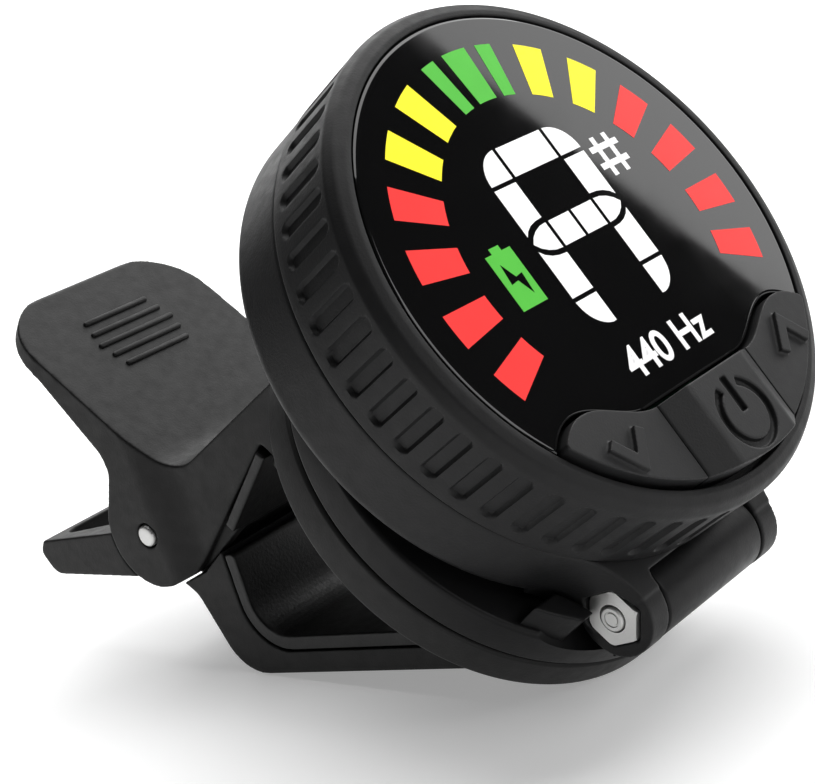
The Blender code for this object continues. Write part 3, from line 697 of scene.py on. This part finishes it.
def spread(a, b, steps):
    return [a + (b - a) * i / steps for i in range(steps + 1)]


def on_dial(points, mirror=False):
    """Dial points (right, up) to the head frame."""
    return [(-v, -u if mirror else u) for u, v in points]


def note_outlines():
    """Lit segments of the note's letter, as (right, up) outlines for its right half and middle."""
    corner = [(3.05, 6.75), (3.05, 9.3)] + arc((3.0, 6.75), 2.55, 84, 0, 10)
    upper = [(3.05, 6.4), (5.6, 6.4), (5.6, 2.35), (5.2, 2.72), (4.6, 3.02), (3.9, 3.18), (3.05, 3.24)]
    tip = [(3.05, 2.78), (3.8, 2.72), (4.5, 2.5), (5.1, 2.15), (5.55, 1.68),
           (5.1, 1.2), (4.5, 0.85), (3.8, 0.63), (3.05, 0.57)]
    lower = [(3.05, -3.05), (3.05, 0.12), (3.9, 0.18), (4.6, 0.35), (5.2, 0.66), (5.6, 1.05), (5.6, -3.05)]
    foot = [(3.05, -5.9), (3.05, -3.4), (5.6, -3.4)] + arc((3.0, -3.4), 2.55, -8, -80, 10)
    middle = [(0.18, 0.57), (2.68, 0.57), (2.68, 2.78), (0.18, 2.78)]
    halves = [corner, upper, tip, lower, foot, middle]
    bar_top = [(-2.68, 6.75), (2.68, 6.75), (2.68, 9.3), (-2.68, 9.3)]
    return halves, bar_top


INLAY_Z = (-0.1, 0.02)
# width of the band of painted shade along the edge of each lit shape
INLAY_SHADE_BAND = 0.32


def inlay(outlines, name):
    """Thin lit shapes. The attribute called inner runs from 0 at an outline to 1 inside it, and masks the
    painted shade along their edges.
    """
    bm = bmesh.new()
    layer = bm.verts.layers.float.new("inner")
    for outline in outlines:
        low = [bm.verts.new((u, v, INLAY_Z[0])) for u, v in outline]
        high = [bm.verts.new((u, v, INLAY_Z[1])) for u, v in outline]
        count = len(outline)
        for i in range(count):
            j = (i + 1) % count
            bm.faces.new((low[i], low[j], high[j], high[i]))
        bm.faces.new(low)
        top = bm.faces.new(high[::-1])
        bmesh.ops.inset_region(bm, faces=[top], thickness=INLAY_SHADE_BAND, use_even_offset=True)
        for vert in top.verts:
            vert[layer] = 1.0
    return mesh_object(name, bm)


def build_dial():
    """Every lit shape of the dial, by colour."""
    green = [annular(0, 4.47), annular(10.9, 2.7), annular(-10.9, 2.7)]
    yellow = [annular(s * a, 4.5) for a in (25.8, 43.0) for s in (-1, 1)]
    red = [annular(s * a, 4.5) for a in (59.8, 76.7, 94.0, 110.9) for s in (-1, 1)]
    halves, bar_top = note_outlines()
    white = [on_dial(o) for o in halves] + [on_dial(o, True) for o in halves] + [on_dial(bar_top)]
    place(inlay(green, "meter_green"), "meter_green", HEAD, "head", LOOK["green"])
    place(inlay(yellow, "meter_yellow"), "meter_yellow", HEAD, "head", LOOK["yellow"])
    place(inlay(red, "meter_red"), "meter_red", HEAD, "head", LOOK["red"])
    place(inlay(white, "note_letter"), "note_letter", HEAD, "head", LOOK["white"])
    strokes = [stroke([(u, 3.55), (u, 7.05)], 0.52) for u in (7.2, 8.72)]
    strokes += [stroke([(6.2, v), (9.7, v)], 0.52) for v in (4.58, 6.08)]
    sharp = prism(on_dial(strokes[0]), *INLAY_Z, "XY")
    sharp = join(sharp, *[prism(on_dial(s), *INLAY_Z, "XY") for s in strokes[1:]])
    place(sharp, "sharp_sign", HEAD, "head", LOOK["print"])
    cell = [(-10.6, -2.2), (-7.75, -2.2), (-7.75, 2.4), (-8.7, 2.4), (-8.7, 2.85), (-9.8, 2.85),
            (-9.8, 2.4), (-10.6, 2.4)]
    bolt = [(-9.75, 1.5), (-9.95, -0.15), (-9.15, -0.05), (-8.5, -1.35), (-8.35, 0.35), (-9.1, 0.25)]
    charge = inlay([on_dial(cell)], "charge_sign")
    place(charge, "charge_sign", HEAD, "head", LOOK["green"])
    place(prism(on_dial(bolt), 0.0, 0.035, "XY"), "charge_bolt", HEAD, "head", LOOK["lens"])


def build_caption():
    """Reference pitch in plain lettering below the note."""
    curve = bpy.data.curves.new("pitch", "FONT")
    curve.body = "440 Hz"
    curve.size = 3.5
    curve.align_x = "CENTER"
    curve.extrude = 0.05
    curve.offset = 0.07
    text = bpy.data.objects.new("pitch_text", curve)
    bpy.context.scene.collection.objects.link(text)
    bpy.context.view_layer.update()
    mesh = bpy.data.meshes.new_from_object(text.evaluated_get(bpy.context.evaluated_depsgraph_get()))
    bpy.data.objects.remove(text)
    obj = bpy.data.objects.new("pitch_figures", mesh)
    bpy.context.scene.collection.objects.link(obj)
    to_face = Matrix(((0, -1, 0, 10.35), (1, 0, 0, 0), (0, 0, 1, -0.03), (0, 0, 0, 1)))
    moved(obj, to_face)
    return obj


def build_nut():
    """Hex nut with turned chamfers on both faces, in the head frame."""
    low, high = -9.25, -7.8
    body = hexagon(4.0, low, high)
    rim = 4.0 / math.sqrt(3)
    cone = [(0.0, low - 0.02), (rim - 0.16, low - 0.02), (rim + 0.02, low + 0.16), (rim + 0.02, high - 0.2),
            (rim - 0.2, high + 0.02), (0.0, high + 0.02)]
    dome = lathe(cone[1:-1], 96, closed=False)
    dome.data.transform(shifted(HINGE[0], 0, HINGE[1]) @ Matrix.Rotation(-math.pi / 2, 4, "X"))
    body = keep_inside(body, dome)
    return cut(body, bar(HINGE, 1.12, -12, -7, "Y", 64))


def to_hinge():
    """Lathe axis to the head's hinge axis, with the lathe's +Z pointing along -Y."""
    return shifted(HINGE[0], 0, HINGE[1]) @ Matrix.Rotation(math.pi / 2, 4, "X")


def cross_recess(size, depth, top):
    """Tapered four-way recess for a driver, cut down from z = top."""
    tools = []
    for turn in (0, 90):
        foot = size * 0.45
        blade = [(-size, top + 0.5), (size, top + 0.5), (foot, top - depth), (-foot, top - depth)]
        tool = prism(blade, -0.17 * size / 0.7, 0.17 * size / 0.7)
        tools.append(moved(tool, Matrix.Rotation(math.radians(turn + 20), 4, "Z")))
    return tools


def pan_screw(head_r, head_t, shank_r, shank_l):
    """Pan-head screw along Z with the head's seat at z = 0, and its shank below."""
    profile = rounded([(0.001, -shank_l, 0), (shank_r, -shank_l, shank_r * 0.3), (shank_r, 0, 0),
                       (head_r, 0, 0.06), (head_r, head_t, head_t * 0.6), (0.001, head_t, 0)], 8)
    body = lathe(profile[1:-1], 72, closed=False)
    return cut(body, *cross_recess(head_r * 0.52, head_t * 0.75, head_t))


def build_hinge_screw():
    """M2 screw: its threaded end shows in the nut, its recessed head on the other side."""
    end = [(0.45, 9.42), (0.86, 9.42), (0.96, 9.36), (1.0, 9.2)]
    thread = []
    for i in range(13):
        z = 9.0 - 0.11 * i
        thread.append((1.0 if i % 2 else 0.9, z))
    shank = end + thread + [(1.0, 7.5), (1.0, -7.9)]
    profile = shank + rounded([(1.0, -7.9, 0), (1.9, -7.9, 0.05), (1.9, -8.9, 0.55), (0.9, -8.9, 0)], 8)[1:-1]
    profile.append((0.001 + 0.9, -8.9))
    body = lathe(profile, 96, closed=False)
    dimple = lathe([(0.72, 9.6), (0.6, 9.33), (0.52, 9.31), (0.42, 9.6)], 64)
    tools = [moved(t, Matrix.Rotation(math.pi, 4, "X")) for t in cross_recess(1.0, 0.7, 8.9)]
    return cut(body, dimple, *tools)


# ---------------------------------------------------------------- swivel

def build_disc():
    """Disc with its cheeks and the barrel of the head's hinge, in the plate frame."""
    x, z = HINGE_ON_PLATE
    edge = rounded([(0, SEAM_GAP, 0), (FLANGE_R, SEAM_GAP, 0.3), (FLANGE_R, DISC_TOP, 0.45),
                    (0, DISC_TOP, 0)], 8)
    body = lathe(edge[1:-1], 256, closed=False)
    body = cut(body, bar((x, z), ARM_CLEAR_R, BARREL_HALF, 14), bar((x, z), ARM_CLEAR_R, -14, -BARREL_HALF))
    body = cut(body, bar((0, 0), 1.5, -1, 9, "Z", 64), bar((0, 0), 2.95, DISC_TOP - 1.35, 9, "Z", 96))
    parts = [cut(body, bar((x, z), ARM_CLEAR_R, -ARM_HALF - 0.35, ARM_HALF + 0.35))]
    flare_x, flare_y = flare_centre()
    flare_x += x - HINGE[0]
    for side in (-1, 1):
        sides = [(CHEEK_X[0], 0), (CHEEK_X[1], 0), (CHEEK_X[1], side * 18), (CHEEK_X[0], side * 18)]
        cheek = prism(sides, SEAM_GAP + 1, CHEEK_TOP, "XY")
        inside = [bar((0, 0), FLANGE_R - 0.5, 0, 9, "Z", 200),
                  bar((flare_x, side * flare_y), FLARE_R - 0.4, 0, 9, "Z")]
        cheek = cut(keep_inside(cheek, *inside), bar((x, z), ARM_CLEAR_R, -ARM_HALF - 0.35, ARM_HALF + 0.35))
        parts.append(soften(cheek, 0.09, 5, 0.5))
    web = [(x - BARREL_R, SEAM_GAP + 1), (18.0, SEAM_GAP + 1), (x + BARREL_R - 0.02, z),
           (x - BARREL_R + 0.02, z)]
    parts.append(prism(web, -BARREL_HALF + 0.05, BARREL_HALF - 0.05))
    tube = rounded([(1.15, -BARREL_HALF, 0.1), (BARREL_R, -BARREL_HALF, 0.3), (BARREL_R, BARREL_HALF, 0.3),
                    (1.15, BARREL_HALF, 0.1)], 6)
    parts.append(moved(lathe(tube, 128), shifted(x, 0, z) @ Matrix.Rotation(math.pi / 2, 4, "X")))
    return merged("disc", parts)


# ---------------------------------------------------------------- clip

def lever_point(along, depth):
    c, s = math.cos(LEVER_SLOPE), math.sin(LEVER_SLOPE)
    return (LEVER_END[0] + along * c - depth * s, LEVER_END[1] - along * s - depth * c)


def lever_frame():
    """Lever frame to clip frame: x down the top face from its end, y across, z out of it."""
    return shifted(LEVER_END[0], 0, LEVER_END[1]) @ turned_about_y(LEVER_SLOPE)


def lever_corner_cutters():
    r = 6.5
    tools = []
    for side in (-1, 1):
        outline = [(-3, -3), (r, -3), (r, 0)] + arc((r, r), r, 270, 180, 24)[1:] + [(-3, r)]
        tool = prism([(u, side * v) for u, v in outline], -8, 8, "XY")
        tools.append(moved(tool, shifted(0, 0, 0) @ lever_frame() @ shifted(0, -side * LEVER_HALF, 0)))
    return tools


def throat_corner():
    """Corner of the upper throat, with the wall's and plate's directions and outward normals."""
    apex = Vector(on_plate(-12.45, -THROAT_DEPTH))
    wall = (Vector(polar(PIN, 9.7, -6.5)) - apex).normalized()
    out = Vector((-wall.y, wall.x))
    if out.dot(Vector((-1, 1))) < 0:
        out = -out
    plate_out = Vector((math.sin(PLATE_TILT), math.cos(PLATE_TILT)))
    plate_dir = Vector((math.cos(PLATE_TILT), -math.sin(PLATE_TILT)))
    return apex, wall, out, plate_dir, plate_out


def build_upper_jaw():
    """Lever, cheeks, wedge and round flange in one moulding."""
    neck = (-50.7, 20.2)
    under = [lever_point(16.0, 3.6), lever_point(7.3, 1.8), lever_point(0, 1.6)]
    tip_x = on_plate(9.98, 0)
    throat_low = on_plate(10.3 - THROAT_DEPTH * 0.56, -THROAT_DEPTH)
    apex = on_plate(-12.45, -THROAT_DEPTH)
    split = polar(PIN, 9.7, -6.5)
    tail = [(*polar(PIN, BOSS_R - 0.05, 150), 0), (*neck, 1.5), (*under[0], 2.0), (*under[1], 4.0)]
    profile = [(*LEVER_END, 0.6), (-43.1, 18.84, 4.0), (-25.0, 26.4, 0), (*on_plate(9.98, 0.6), 0)]
    profile += [(tip_x[0] + 0.4, 3.75, 0), (throat_low[0], 3.75, 0.4), (*apex, 0.8), (*split, 0.4)]
    profile += [(*polar(PIN, *WEB), 1.5), (*polar(PIN, BOSS_R, WEB_FOOT), 0), (*PIN, 0), *tail,
                (*under[2], 0.5)]
    body = prism(rounded(profile), -LEVER_HALF - 1, LEVER_HALF + 1)
    body = join(body, bar(PIN, BOSS_R, -LEVER_HALF - 1, LEVER_HALF + 1))
    body = keep_inside(body, prism(cheek_plan(), -5, 45, "XY"))
    body = join(body, moved(bar((0, 0), FLANGE_R - 0.8, -FLANGE_T + 0.2, -0.2, "Z", 200), PLATE_IN_CLIP))
    body = cut(body, *lever_corner_cutters())
    body = cut(body, bar(PIN, BOSS_R + 0.7, -CHEEK_IN, CHEEK_IN), bar(PIN, 1.15, -14, 14, "Y", 48))
    corner, wall, out, along, plate_out = throat_corner()
    low, high = corner + wall * SHORT_LEG, corner - wall * 0.6
    pocket = [low - out, low + out * SHORT_LEG_T, high + out * SHORT_LEG_T, high - out]
    body = cut(body, prism([tuple(p) for p in pocket], -JAW_HALF - 1, JAW_HALF + 1))
    step = [(-31.3, 20.4), (-45.0, 9.7), (-44.0, 8.0), (-37.0, 11.5), (-30.8, 19.0)]
    body = cut(body, prism(step, CHEEK_STEP, 12), prism(step, -12, -CHEEK_STEP))
    between = [PIN, polar(PIN, 12.0, -6.5), (-36.0, 7.0), (-50.0, 7.0)]
    body = cut(body, prism(between, -CHEEK_IN, CHEEK_IN))
    low, high = corner + along * 17.3, corner - along * 0.6
    seat = [high - plate_out, high + plate_out * PAD_T, low + plate_out * PAD_T, low - plate_out]
    body = cut(body, prism([tuple(p) for p in seat], -PAD_SEAT_HALF, PAD_SEAT_HALF))
    holes = [bar((0, 0), 1.4, -15, 1, "Z", 48), prism(arc((0, 0), 2.75, 30, 390, 6)[:-1], -11.0, -8.0, "XY")]
    body = soften(cut(body, *[moved(tool, PLATE_IN_CLIP) for tool in holes]), 0.12, 12, 0.2)
    edge = rounded([(1.4, -FLANGE_T, 0.1), (FLANGE_R, -FLANGE_T, 0.35), (FLANGE_R, 0.0, 0.35),
                    (1.4, 0.0, 0.1)], 8)
    flange = moved(lathe(edge, 256), PLATE_IN_CLIP)
    flange = cut(flange, prism([tuple(p) for p in seat], -PAD_SEAT_HALF, PAD_SEAT_HALF))
    return merged("clip_top", [body, flange])


def cheek_plan():
    """Outline from above: full width at the lever and the pin, easing in to the jaw's width."""
    start, end = -47.6, -42.6
    right = [(-70, -LEVER_HALF)]
    for i in range(25):
        t = i / 24
        ease = t * t * (3 - 2 * t)
        right.append((start + (end - start) * t, -LEVER_HALF + (LEVER_HALF - JAW_HALF) * ease))
    right.append((0, -JAW_HALF))
    return right + [(x, -y) for x, y in right[::-1]]


def build_grip_ribs():
    """Five plain raised ribs for the thumb, set in the lever's top face."""
    ribs = []
    for i in range(5):
        along = 5.2 + 1.45 * i
        half = 4.6 - 0.35 * abs(i - 2)
        ends = arc((0, half - 0.28), 0.28, 0, 180, 8) + arc((0, -half + 0.28), 0.28, 180, 360, 8)
        outline = [(along + u, v) for u, v in ends]
        bm = bmesh.new()
        rings = []
        for grow, z in ((1.0, -0.5), (1.0, 0.10), (0.85, 0.2), (0.5, 0.27)):
            ring = []
            for u, v in outline:
                edge = max(-half + 0.28, min(half - 0.28, v))
                ring.append(bm.verts.new((along + (u - along) * grow, edge + (v - edge) * grow, z)))
            rings.append(ring)
        count = len(outline)
        for ring, following in zip(rings, rings[1:]):
            for k in range(count):
                m = (k + 1) % count
                bm.faces.new((ring[k], ring[m], following[m], following[k]))
        bm.faces.new(rings[0])
        bm.faces.new(reversed(rings[-1]))
        ribs.append(mesh_object("rib", bm))
    return moved(merged("grip_ribs", ribs), lever_frame())


def build_upper_pad():
    corner, wall, out, along, plate_out = throat_corner()
    deep, proud = PAD_T - GAP, 0.4
    low = corner + wall * (SHORT_LEG - 0.1)
    inner, outer = out * (SHORT_LEG_T - 0.1), -out * SHORT_LEG_PROUD
    short = [corner + inner, low + inner, low + outer, corner + outer]
    end = corner + along * (17.3 - GAP)
    leg = [corner + plate_out * deep, end + plate_out * deep, end - plate_out * 0.1,
           end - along * 0.5 - plate_out * proud, corner + along * 0.6 - plate_out * proud, corner]
    body = prism([tuple(p) for p in short], -JAW_HALF - 0.35, JAW_HALF + 0.35)
    body = join(body, prism([tuple(p) for p in leg], -PAD_SEAT_HALF + GAP, PAD_SEAT_HALF - GAP))
    return soften(body, 0.09, 12, 0.3)


def build_lower_jaw():
    """Lever, knuckle and L-shaped jaw in one moulding."""
    clear = BOSS_R + 0.35
    corners = [(-40.95, 11.55, 0), (*polar(PIN, 6.25, -42), 1.5), (*polar(PIN, 5.2, -76), 0)]
    corners += [(-46.1, 7.9, 2.5)]
    corners += [(-43.65, 0.0, 4.2), (-13.2, 0.0, 0.6), (-12.9, 2.0, 0.4), (-41.3, 2.0, 4.6)]
    jaw = prism(rounded(corners, 12), -JAW_HALF, JAW_HALF)
    lever = [(*p, 0) for p in arc(PIN, clear, 174.5, 226.5, 20)]
    lever += [(-64.4, 11.1, 1.7), (-65.5, 13.4, 0.8), (-64.6, 14.5, 0.4)]
    lever = prism(rounded(lever), -LEVER_HALF + 0.3, LEVER_HALF - 0.3)
    knuckle = [(-55.5, 10.6), (-52.3, 9.95), (-48.6, 9.4), (-47.3, 8.9), (-46.4, 8.3), (-44.0, 8.6)]
    knuckle += [(-42.9, 9.5), (-42.2, 12.6), (-43.4, 13.0)]
    knuckle += [(-46.8, 14.6), (-48.63, 14.6), (-55.5, 14.3)]
    core = join(prism(knuckle, -KNUCKLE_HALF, KNUCKLE_HALF), bar(PIN, 4.4, -KNUCKLE_HALF, KNUCKLE_HALF))
    body = join(core, jaw, lever)
    window = rounded([(-9.1, -63.5, 1.5), (9.1, -63.5, 1.5), (7.4, -55.7, 1.2), (-7.4, -55.7, 1.2)])
    body = cut(body, prism([(x, y) for y, x in window], 5, 20, "XY"), bar(PIN, 1.15, -14, 14, "Y", 48))
    room = [(-54.0, 14.9), (-54.0, 19), (-44, 19), (-44.0, 15.5)]
    body = cut(body, bar(PIN, 3.75, -SPRING_HALF, SPRING_HALF), prism(room, -SPRING_HALF, SPRING_HALF))
    return soften(body, 0.11, 10, 0.2)


def build_lower_pad():
    low = 2.0 + GAP
    corners = [(-41.1, low, 4.45), (-14.2, low, 0.3), (-14.2, LOWER_PAD_TOP, 0.5)]
    corners += [(-39.95, LOWER_PAD_TOP, 3.5), (-39.6, 11.2, 0.4), (-40.78, 11.2, 0.3)]
    return soften(prism(rounded(corners, 10), -JAW_HALF + 0.05, JAW_HALF - 0.05), 0.09, 11, 0.3)


def build_pin():
    """Pin with a peened dome on each end."""
    half = LEVER_HALF + 0.2
    dome = [(0.5, half), (0.78, half), (0.88, half - 0.04), (0.95, half - 0.12), (0.99, half - 0.25)]
    profile = dome + [(1.0, half - 0.45)] + [(r, -z) for r, z in [(1.0, half - 0.45)] + dome[::-1]]
    across = shifted(PIN[0], 0, PIN[1]) @ Matrix.Rotation(math.pi / 2, 4, "X")
    return moved(lathe(profile, 64, closed=False), across)


def build_spring():
    """Coil about the pin, with a leg under each lever."""
    radius, turns, per_turn, reach = 2.7, 6, 56, 3.7
    first, last = 172.0, 90.0 + 360 * turns
    count = turns * per_turn
    path = []
    for i in range(count + 1):
        t = i / count
        x, z = polar(PIN, radius, first + (last - first) * t)
        path.append(Vector((x, -reach + 2 * reach * t, z)))
    upper_leg = [Vector((-54.9, -reach, 26.6)), Vector((-53.3, -reach, 20.5))]
    lower_leg = [Vector((-51.9, reach, 16.4)), Vector((-55.4, reach, 15.5))]
    return wire(upper_leg + path + lower_leg, 0.4)


# ---------------------------------------------------------------- assembly

def carried_over():
    """Procedural finishes for the CAD nodes that stay."""
    kept = {"display_panel": "switch", "circuit_board": "board", "battery": "cell",
            "vibration_sensor": "brass", "charge_socket": "steel", "down_switch": "switch",
            "power_switch": "switch", "up_switch": "switch", "swivel_nut": "steel"}
    for node, look in kept.items():
        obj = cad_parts[node]
        obj.data.materials.clear()
        obj.data.materials.append(LOOK[look])


def head_pieces():
    place(build_bezel(), "bezel_ring", HEAD, "head", LOOK["shell"], ("bezel",), 30)
    place(build_cover(), "back_cover", HEAD, "head", LOOK["cover"], ("rear_cover",), 0)
    place(build_lens(), "window", HEAD, "head", LOOK["lens"], ("lens",), 30)
    place(build_side_key(-1), "key_down", HEAD, "down_button", LOOK["keys"], ("down_key",), 0)
    place(build_power_key(), "key_power", HEAD, "power_button", LOOK["keys"], ("power_key",), 0)
    place(build_side_key(1), "key_up", HEAD, "up_button", LOOK["keys"], ("up_key",), 0)
    place(build_nut(), "nut", HEAD, "head", LOOK["nut"], ("hinge_nut",), 30)
    screw = moved(build_hinge_screw(), to_hinge())
    place(screw, "screw", HEAD, "head", LOOK["nut"], ("hinge_screw",), 30)
    build_dial()
    place(build_caption(), "pitch_figures", HEAD, "head", LOOK["print"])
    for i, spot in enumerate(post_places()):
        seated = shifted(*spot, COVER_SCREW_Z) @ Matrix.Rotation(math.pi, 4, "X")
        screw = moved(pan_screw(head_r=1.65, head_t=0.75, shank_r=0.8, shank_l=4.4), seated)
        node = f"case_screw_{i + 1}"
        place(screw, f"cover_screw_{i + 1}", HEAD, "head", LOOK["steel"], (node,), 30)


def clip_pieces():
    place(build_disc(), "disc", PLATE, "swivel", LOOK["barrel"], ("swivel_disc",), 35)
    screw = pan_screw(head_r=2.7, head_t=1.05, shank_r=1.25, shank_l=11.0)
    screw = moved(screw, shifted(0, 0, DISC_TOP - 1.2))
    place(screw, "disc_screw", PLATE, "upper_clip", LOOK["steel"], ("swivel_screw",), 30)
    place(build_upper_jaw(), "clip_top", CLIP, "upper_clip", LOOK["clip"], ("upper_jaw",), 50)
    place(build_grip_ribs(), "grip_ribs", CLIP, "upper_clip", LOOK["clip"], (), 50)
    place(build_upper_pad(), "pad_top", CLIP, "upper_clip", LOOK["pad"], ("upper_pad",), 0)
    place(build_lower_jaw(), "clip_base", CLIP, "lower_clip", LOOK["clip"], ("lower_jaw",), 0)
    place(build_lower_pad(), "pad_base", CLIP, "lower_clip", LOOK["pad"], ("lower_pad",), 0)
    place(build_pin(), "pin", CLIP, "lower_clip", LOOK["nut"], ("clip_pin",), 30)
    spring = place(build_spring(), "spring", CLIP, None, LOOK["spring"], ("torsion_spring",), 40)
    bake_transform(spring)


# ---------------------------------------------------------------- studio

def camera():
    data = bpy.data.cameras.new("camera")
    data.lens = 86.07
    data.sensor_width = 36.0
    data.clip_start = 0.005
    data.clip_end = 50.0
    cam = bpy.data.objects.new("camera", data)
    bpy.context.scene.collection.objects.link(cam)
    cam.matrix_world = Matrix((
        (0.739749, 0.007226, 0.672845, 0.110845),
        (0.628080, 0.351350, -0.694310, -0.110462),
        (-0.241426, 0.936214, 0.255377, 0.062945),
        (0.0, 0.0, 0.0, 1.0),
    ))
    bpy.context.scene.camera = cam


def seen_in_window(right, up, reach):
    """Where the camera's line of sight ends, after the head's window reflects it."""
    point = (HEAD @ Vector((-up, right, 0))) * MM
    normal = (HEAD.to_3x3() @ Vector((0, 0, 1))).normalized()
    sight = (bpy.context.scene.camera.matrix_world.translation - point).normalized()
    return point + (2 * sight.dot(normal) * normal - sight) * reach


def softbox(name, centre, axes, size, radiance):
    """Rectangular light. axes are its width, its height and the direction it faces away from."""
    data = bpy.data.lights.new(name, "AREA")
    data.shape = "RECTANGLE"
    data.size, data.size_y = size
    data.energy = radiance * math.pi * data.size * data.size_y
    light = bpy.data.objects.new(name, data)
    bpy.context.scene.collection.objects.link(light)
    light.matrix_world = Matrix.Translation(centre) @ Matrix(axes).transposed().to_4x4()
    light.visible_camera = False


def room_light(name, direction, radiance):
    """Softbox that faces the object from a direction."""
    facing = Vector(direction).normalized()
    along = Vector((0, 0, 1)).cross(facing).normalized()
    softbox(name, facing * 0.9, (along, facing.cross(along), facing), (0.6, 0.5), radiance)


def window_light(radiance):
    """Softbox whose straight edge shows as the slanting sheen on the head's window."""
    reach, width, spare = 0.75, 0.62, 0.16
    a = seen_in_window(-1.7, 19.8, reach)
    b = seen_in_window(13.0, -9.5, reach)
    inside = seen_in_window(14.0, 9.0, reach)
    along = (b - a).normalized()
    inward = inside - a
    inward = (inward - inward.dot(along) * along).normalized()
    centre = (a + b) / 2 + inward * width / 2
    facing = along.cross(inward)
    if facing.dot(centre) < 0:
        along, facing = -along, -facing
    softbox("sheen", centre, (along, inward, facing), ((b - a).length + 2 * spare, width), radiance)


def studio():
    floor_mesh = bpy.data.meshes.new("floor")
    bm = bmesh.new()
    bmesh.ops.create_grid(bm, x_segments=1, y_segments=1, size=6.0)
    bm.to_mesh(floor_mesh)
    bm.free()
    floor = bpy.data.objects.new("floor", floor_mesh)
    bpy.context.scene.collection.objects.link(floor)
    mat, tree, shader = shader_of("pale_floor")
    tone = noise(tree, coords_of(tree), 30.0)
    tree.links.new(blended(tree, tone, (0.86, 0.86, 0.86), (0.88, 0.88, 0.88)), shader.inputs["Base Color"])
    shader.inputs["Roughness"].default_value = 0.7
    shader.inputs["Specular IOR Level"].default_value = 0.1
    shader.inputs["Emission Color"].default_value = (1.0, 1.0, 1.0, 1.0)
    shader.inputs["Emission Strength"].default_value = 0.3
    floor_mesh.materials.append(mat)
    world = bpy.data.worlds.new("studio")
    bpy.context.scene.world = world
    world.use_nodes = True
    tree = world.node_tree
    sky = tree.nodes["Background"]
    seen = tree.nodes.new("ShaderNodeLightPath")
    tree.links.new(mapped(tree, seen.outputs["Is Camera Ray"], 0.05, 1.0, 0.0, 1.0), sky.inputs["Strength"])
    sky.inputs["Color"].default_value = (1.0, 1.0, 1.0, 1.0)
    sun = bpy.data.lights.new("ceiling", "SUN")
    sun.energy = 3.3
    sun.angle = math.radians(70)
    ceiling = bpy.data.objects.new("ceiling", sun)
    ceiling.matrix_world = Vector((-0.15, 0.45, 0.88)).to_track_quat("Z", "Y").to_matrix().to_4x4()
    bpy.context.scene.collection.objects.link(ceiling)
    window_light(2.5)
    room_light("front", (0.85, 0.22, 0.5), 3.0)
    room_light("back", (-0.75, 0.45, 0.4), 2.5)
    bpy.context.scene.view_settings.view_transform = "Standard"


camera()
carried_over()
head_pieces()
clip_pieces()
studio()
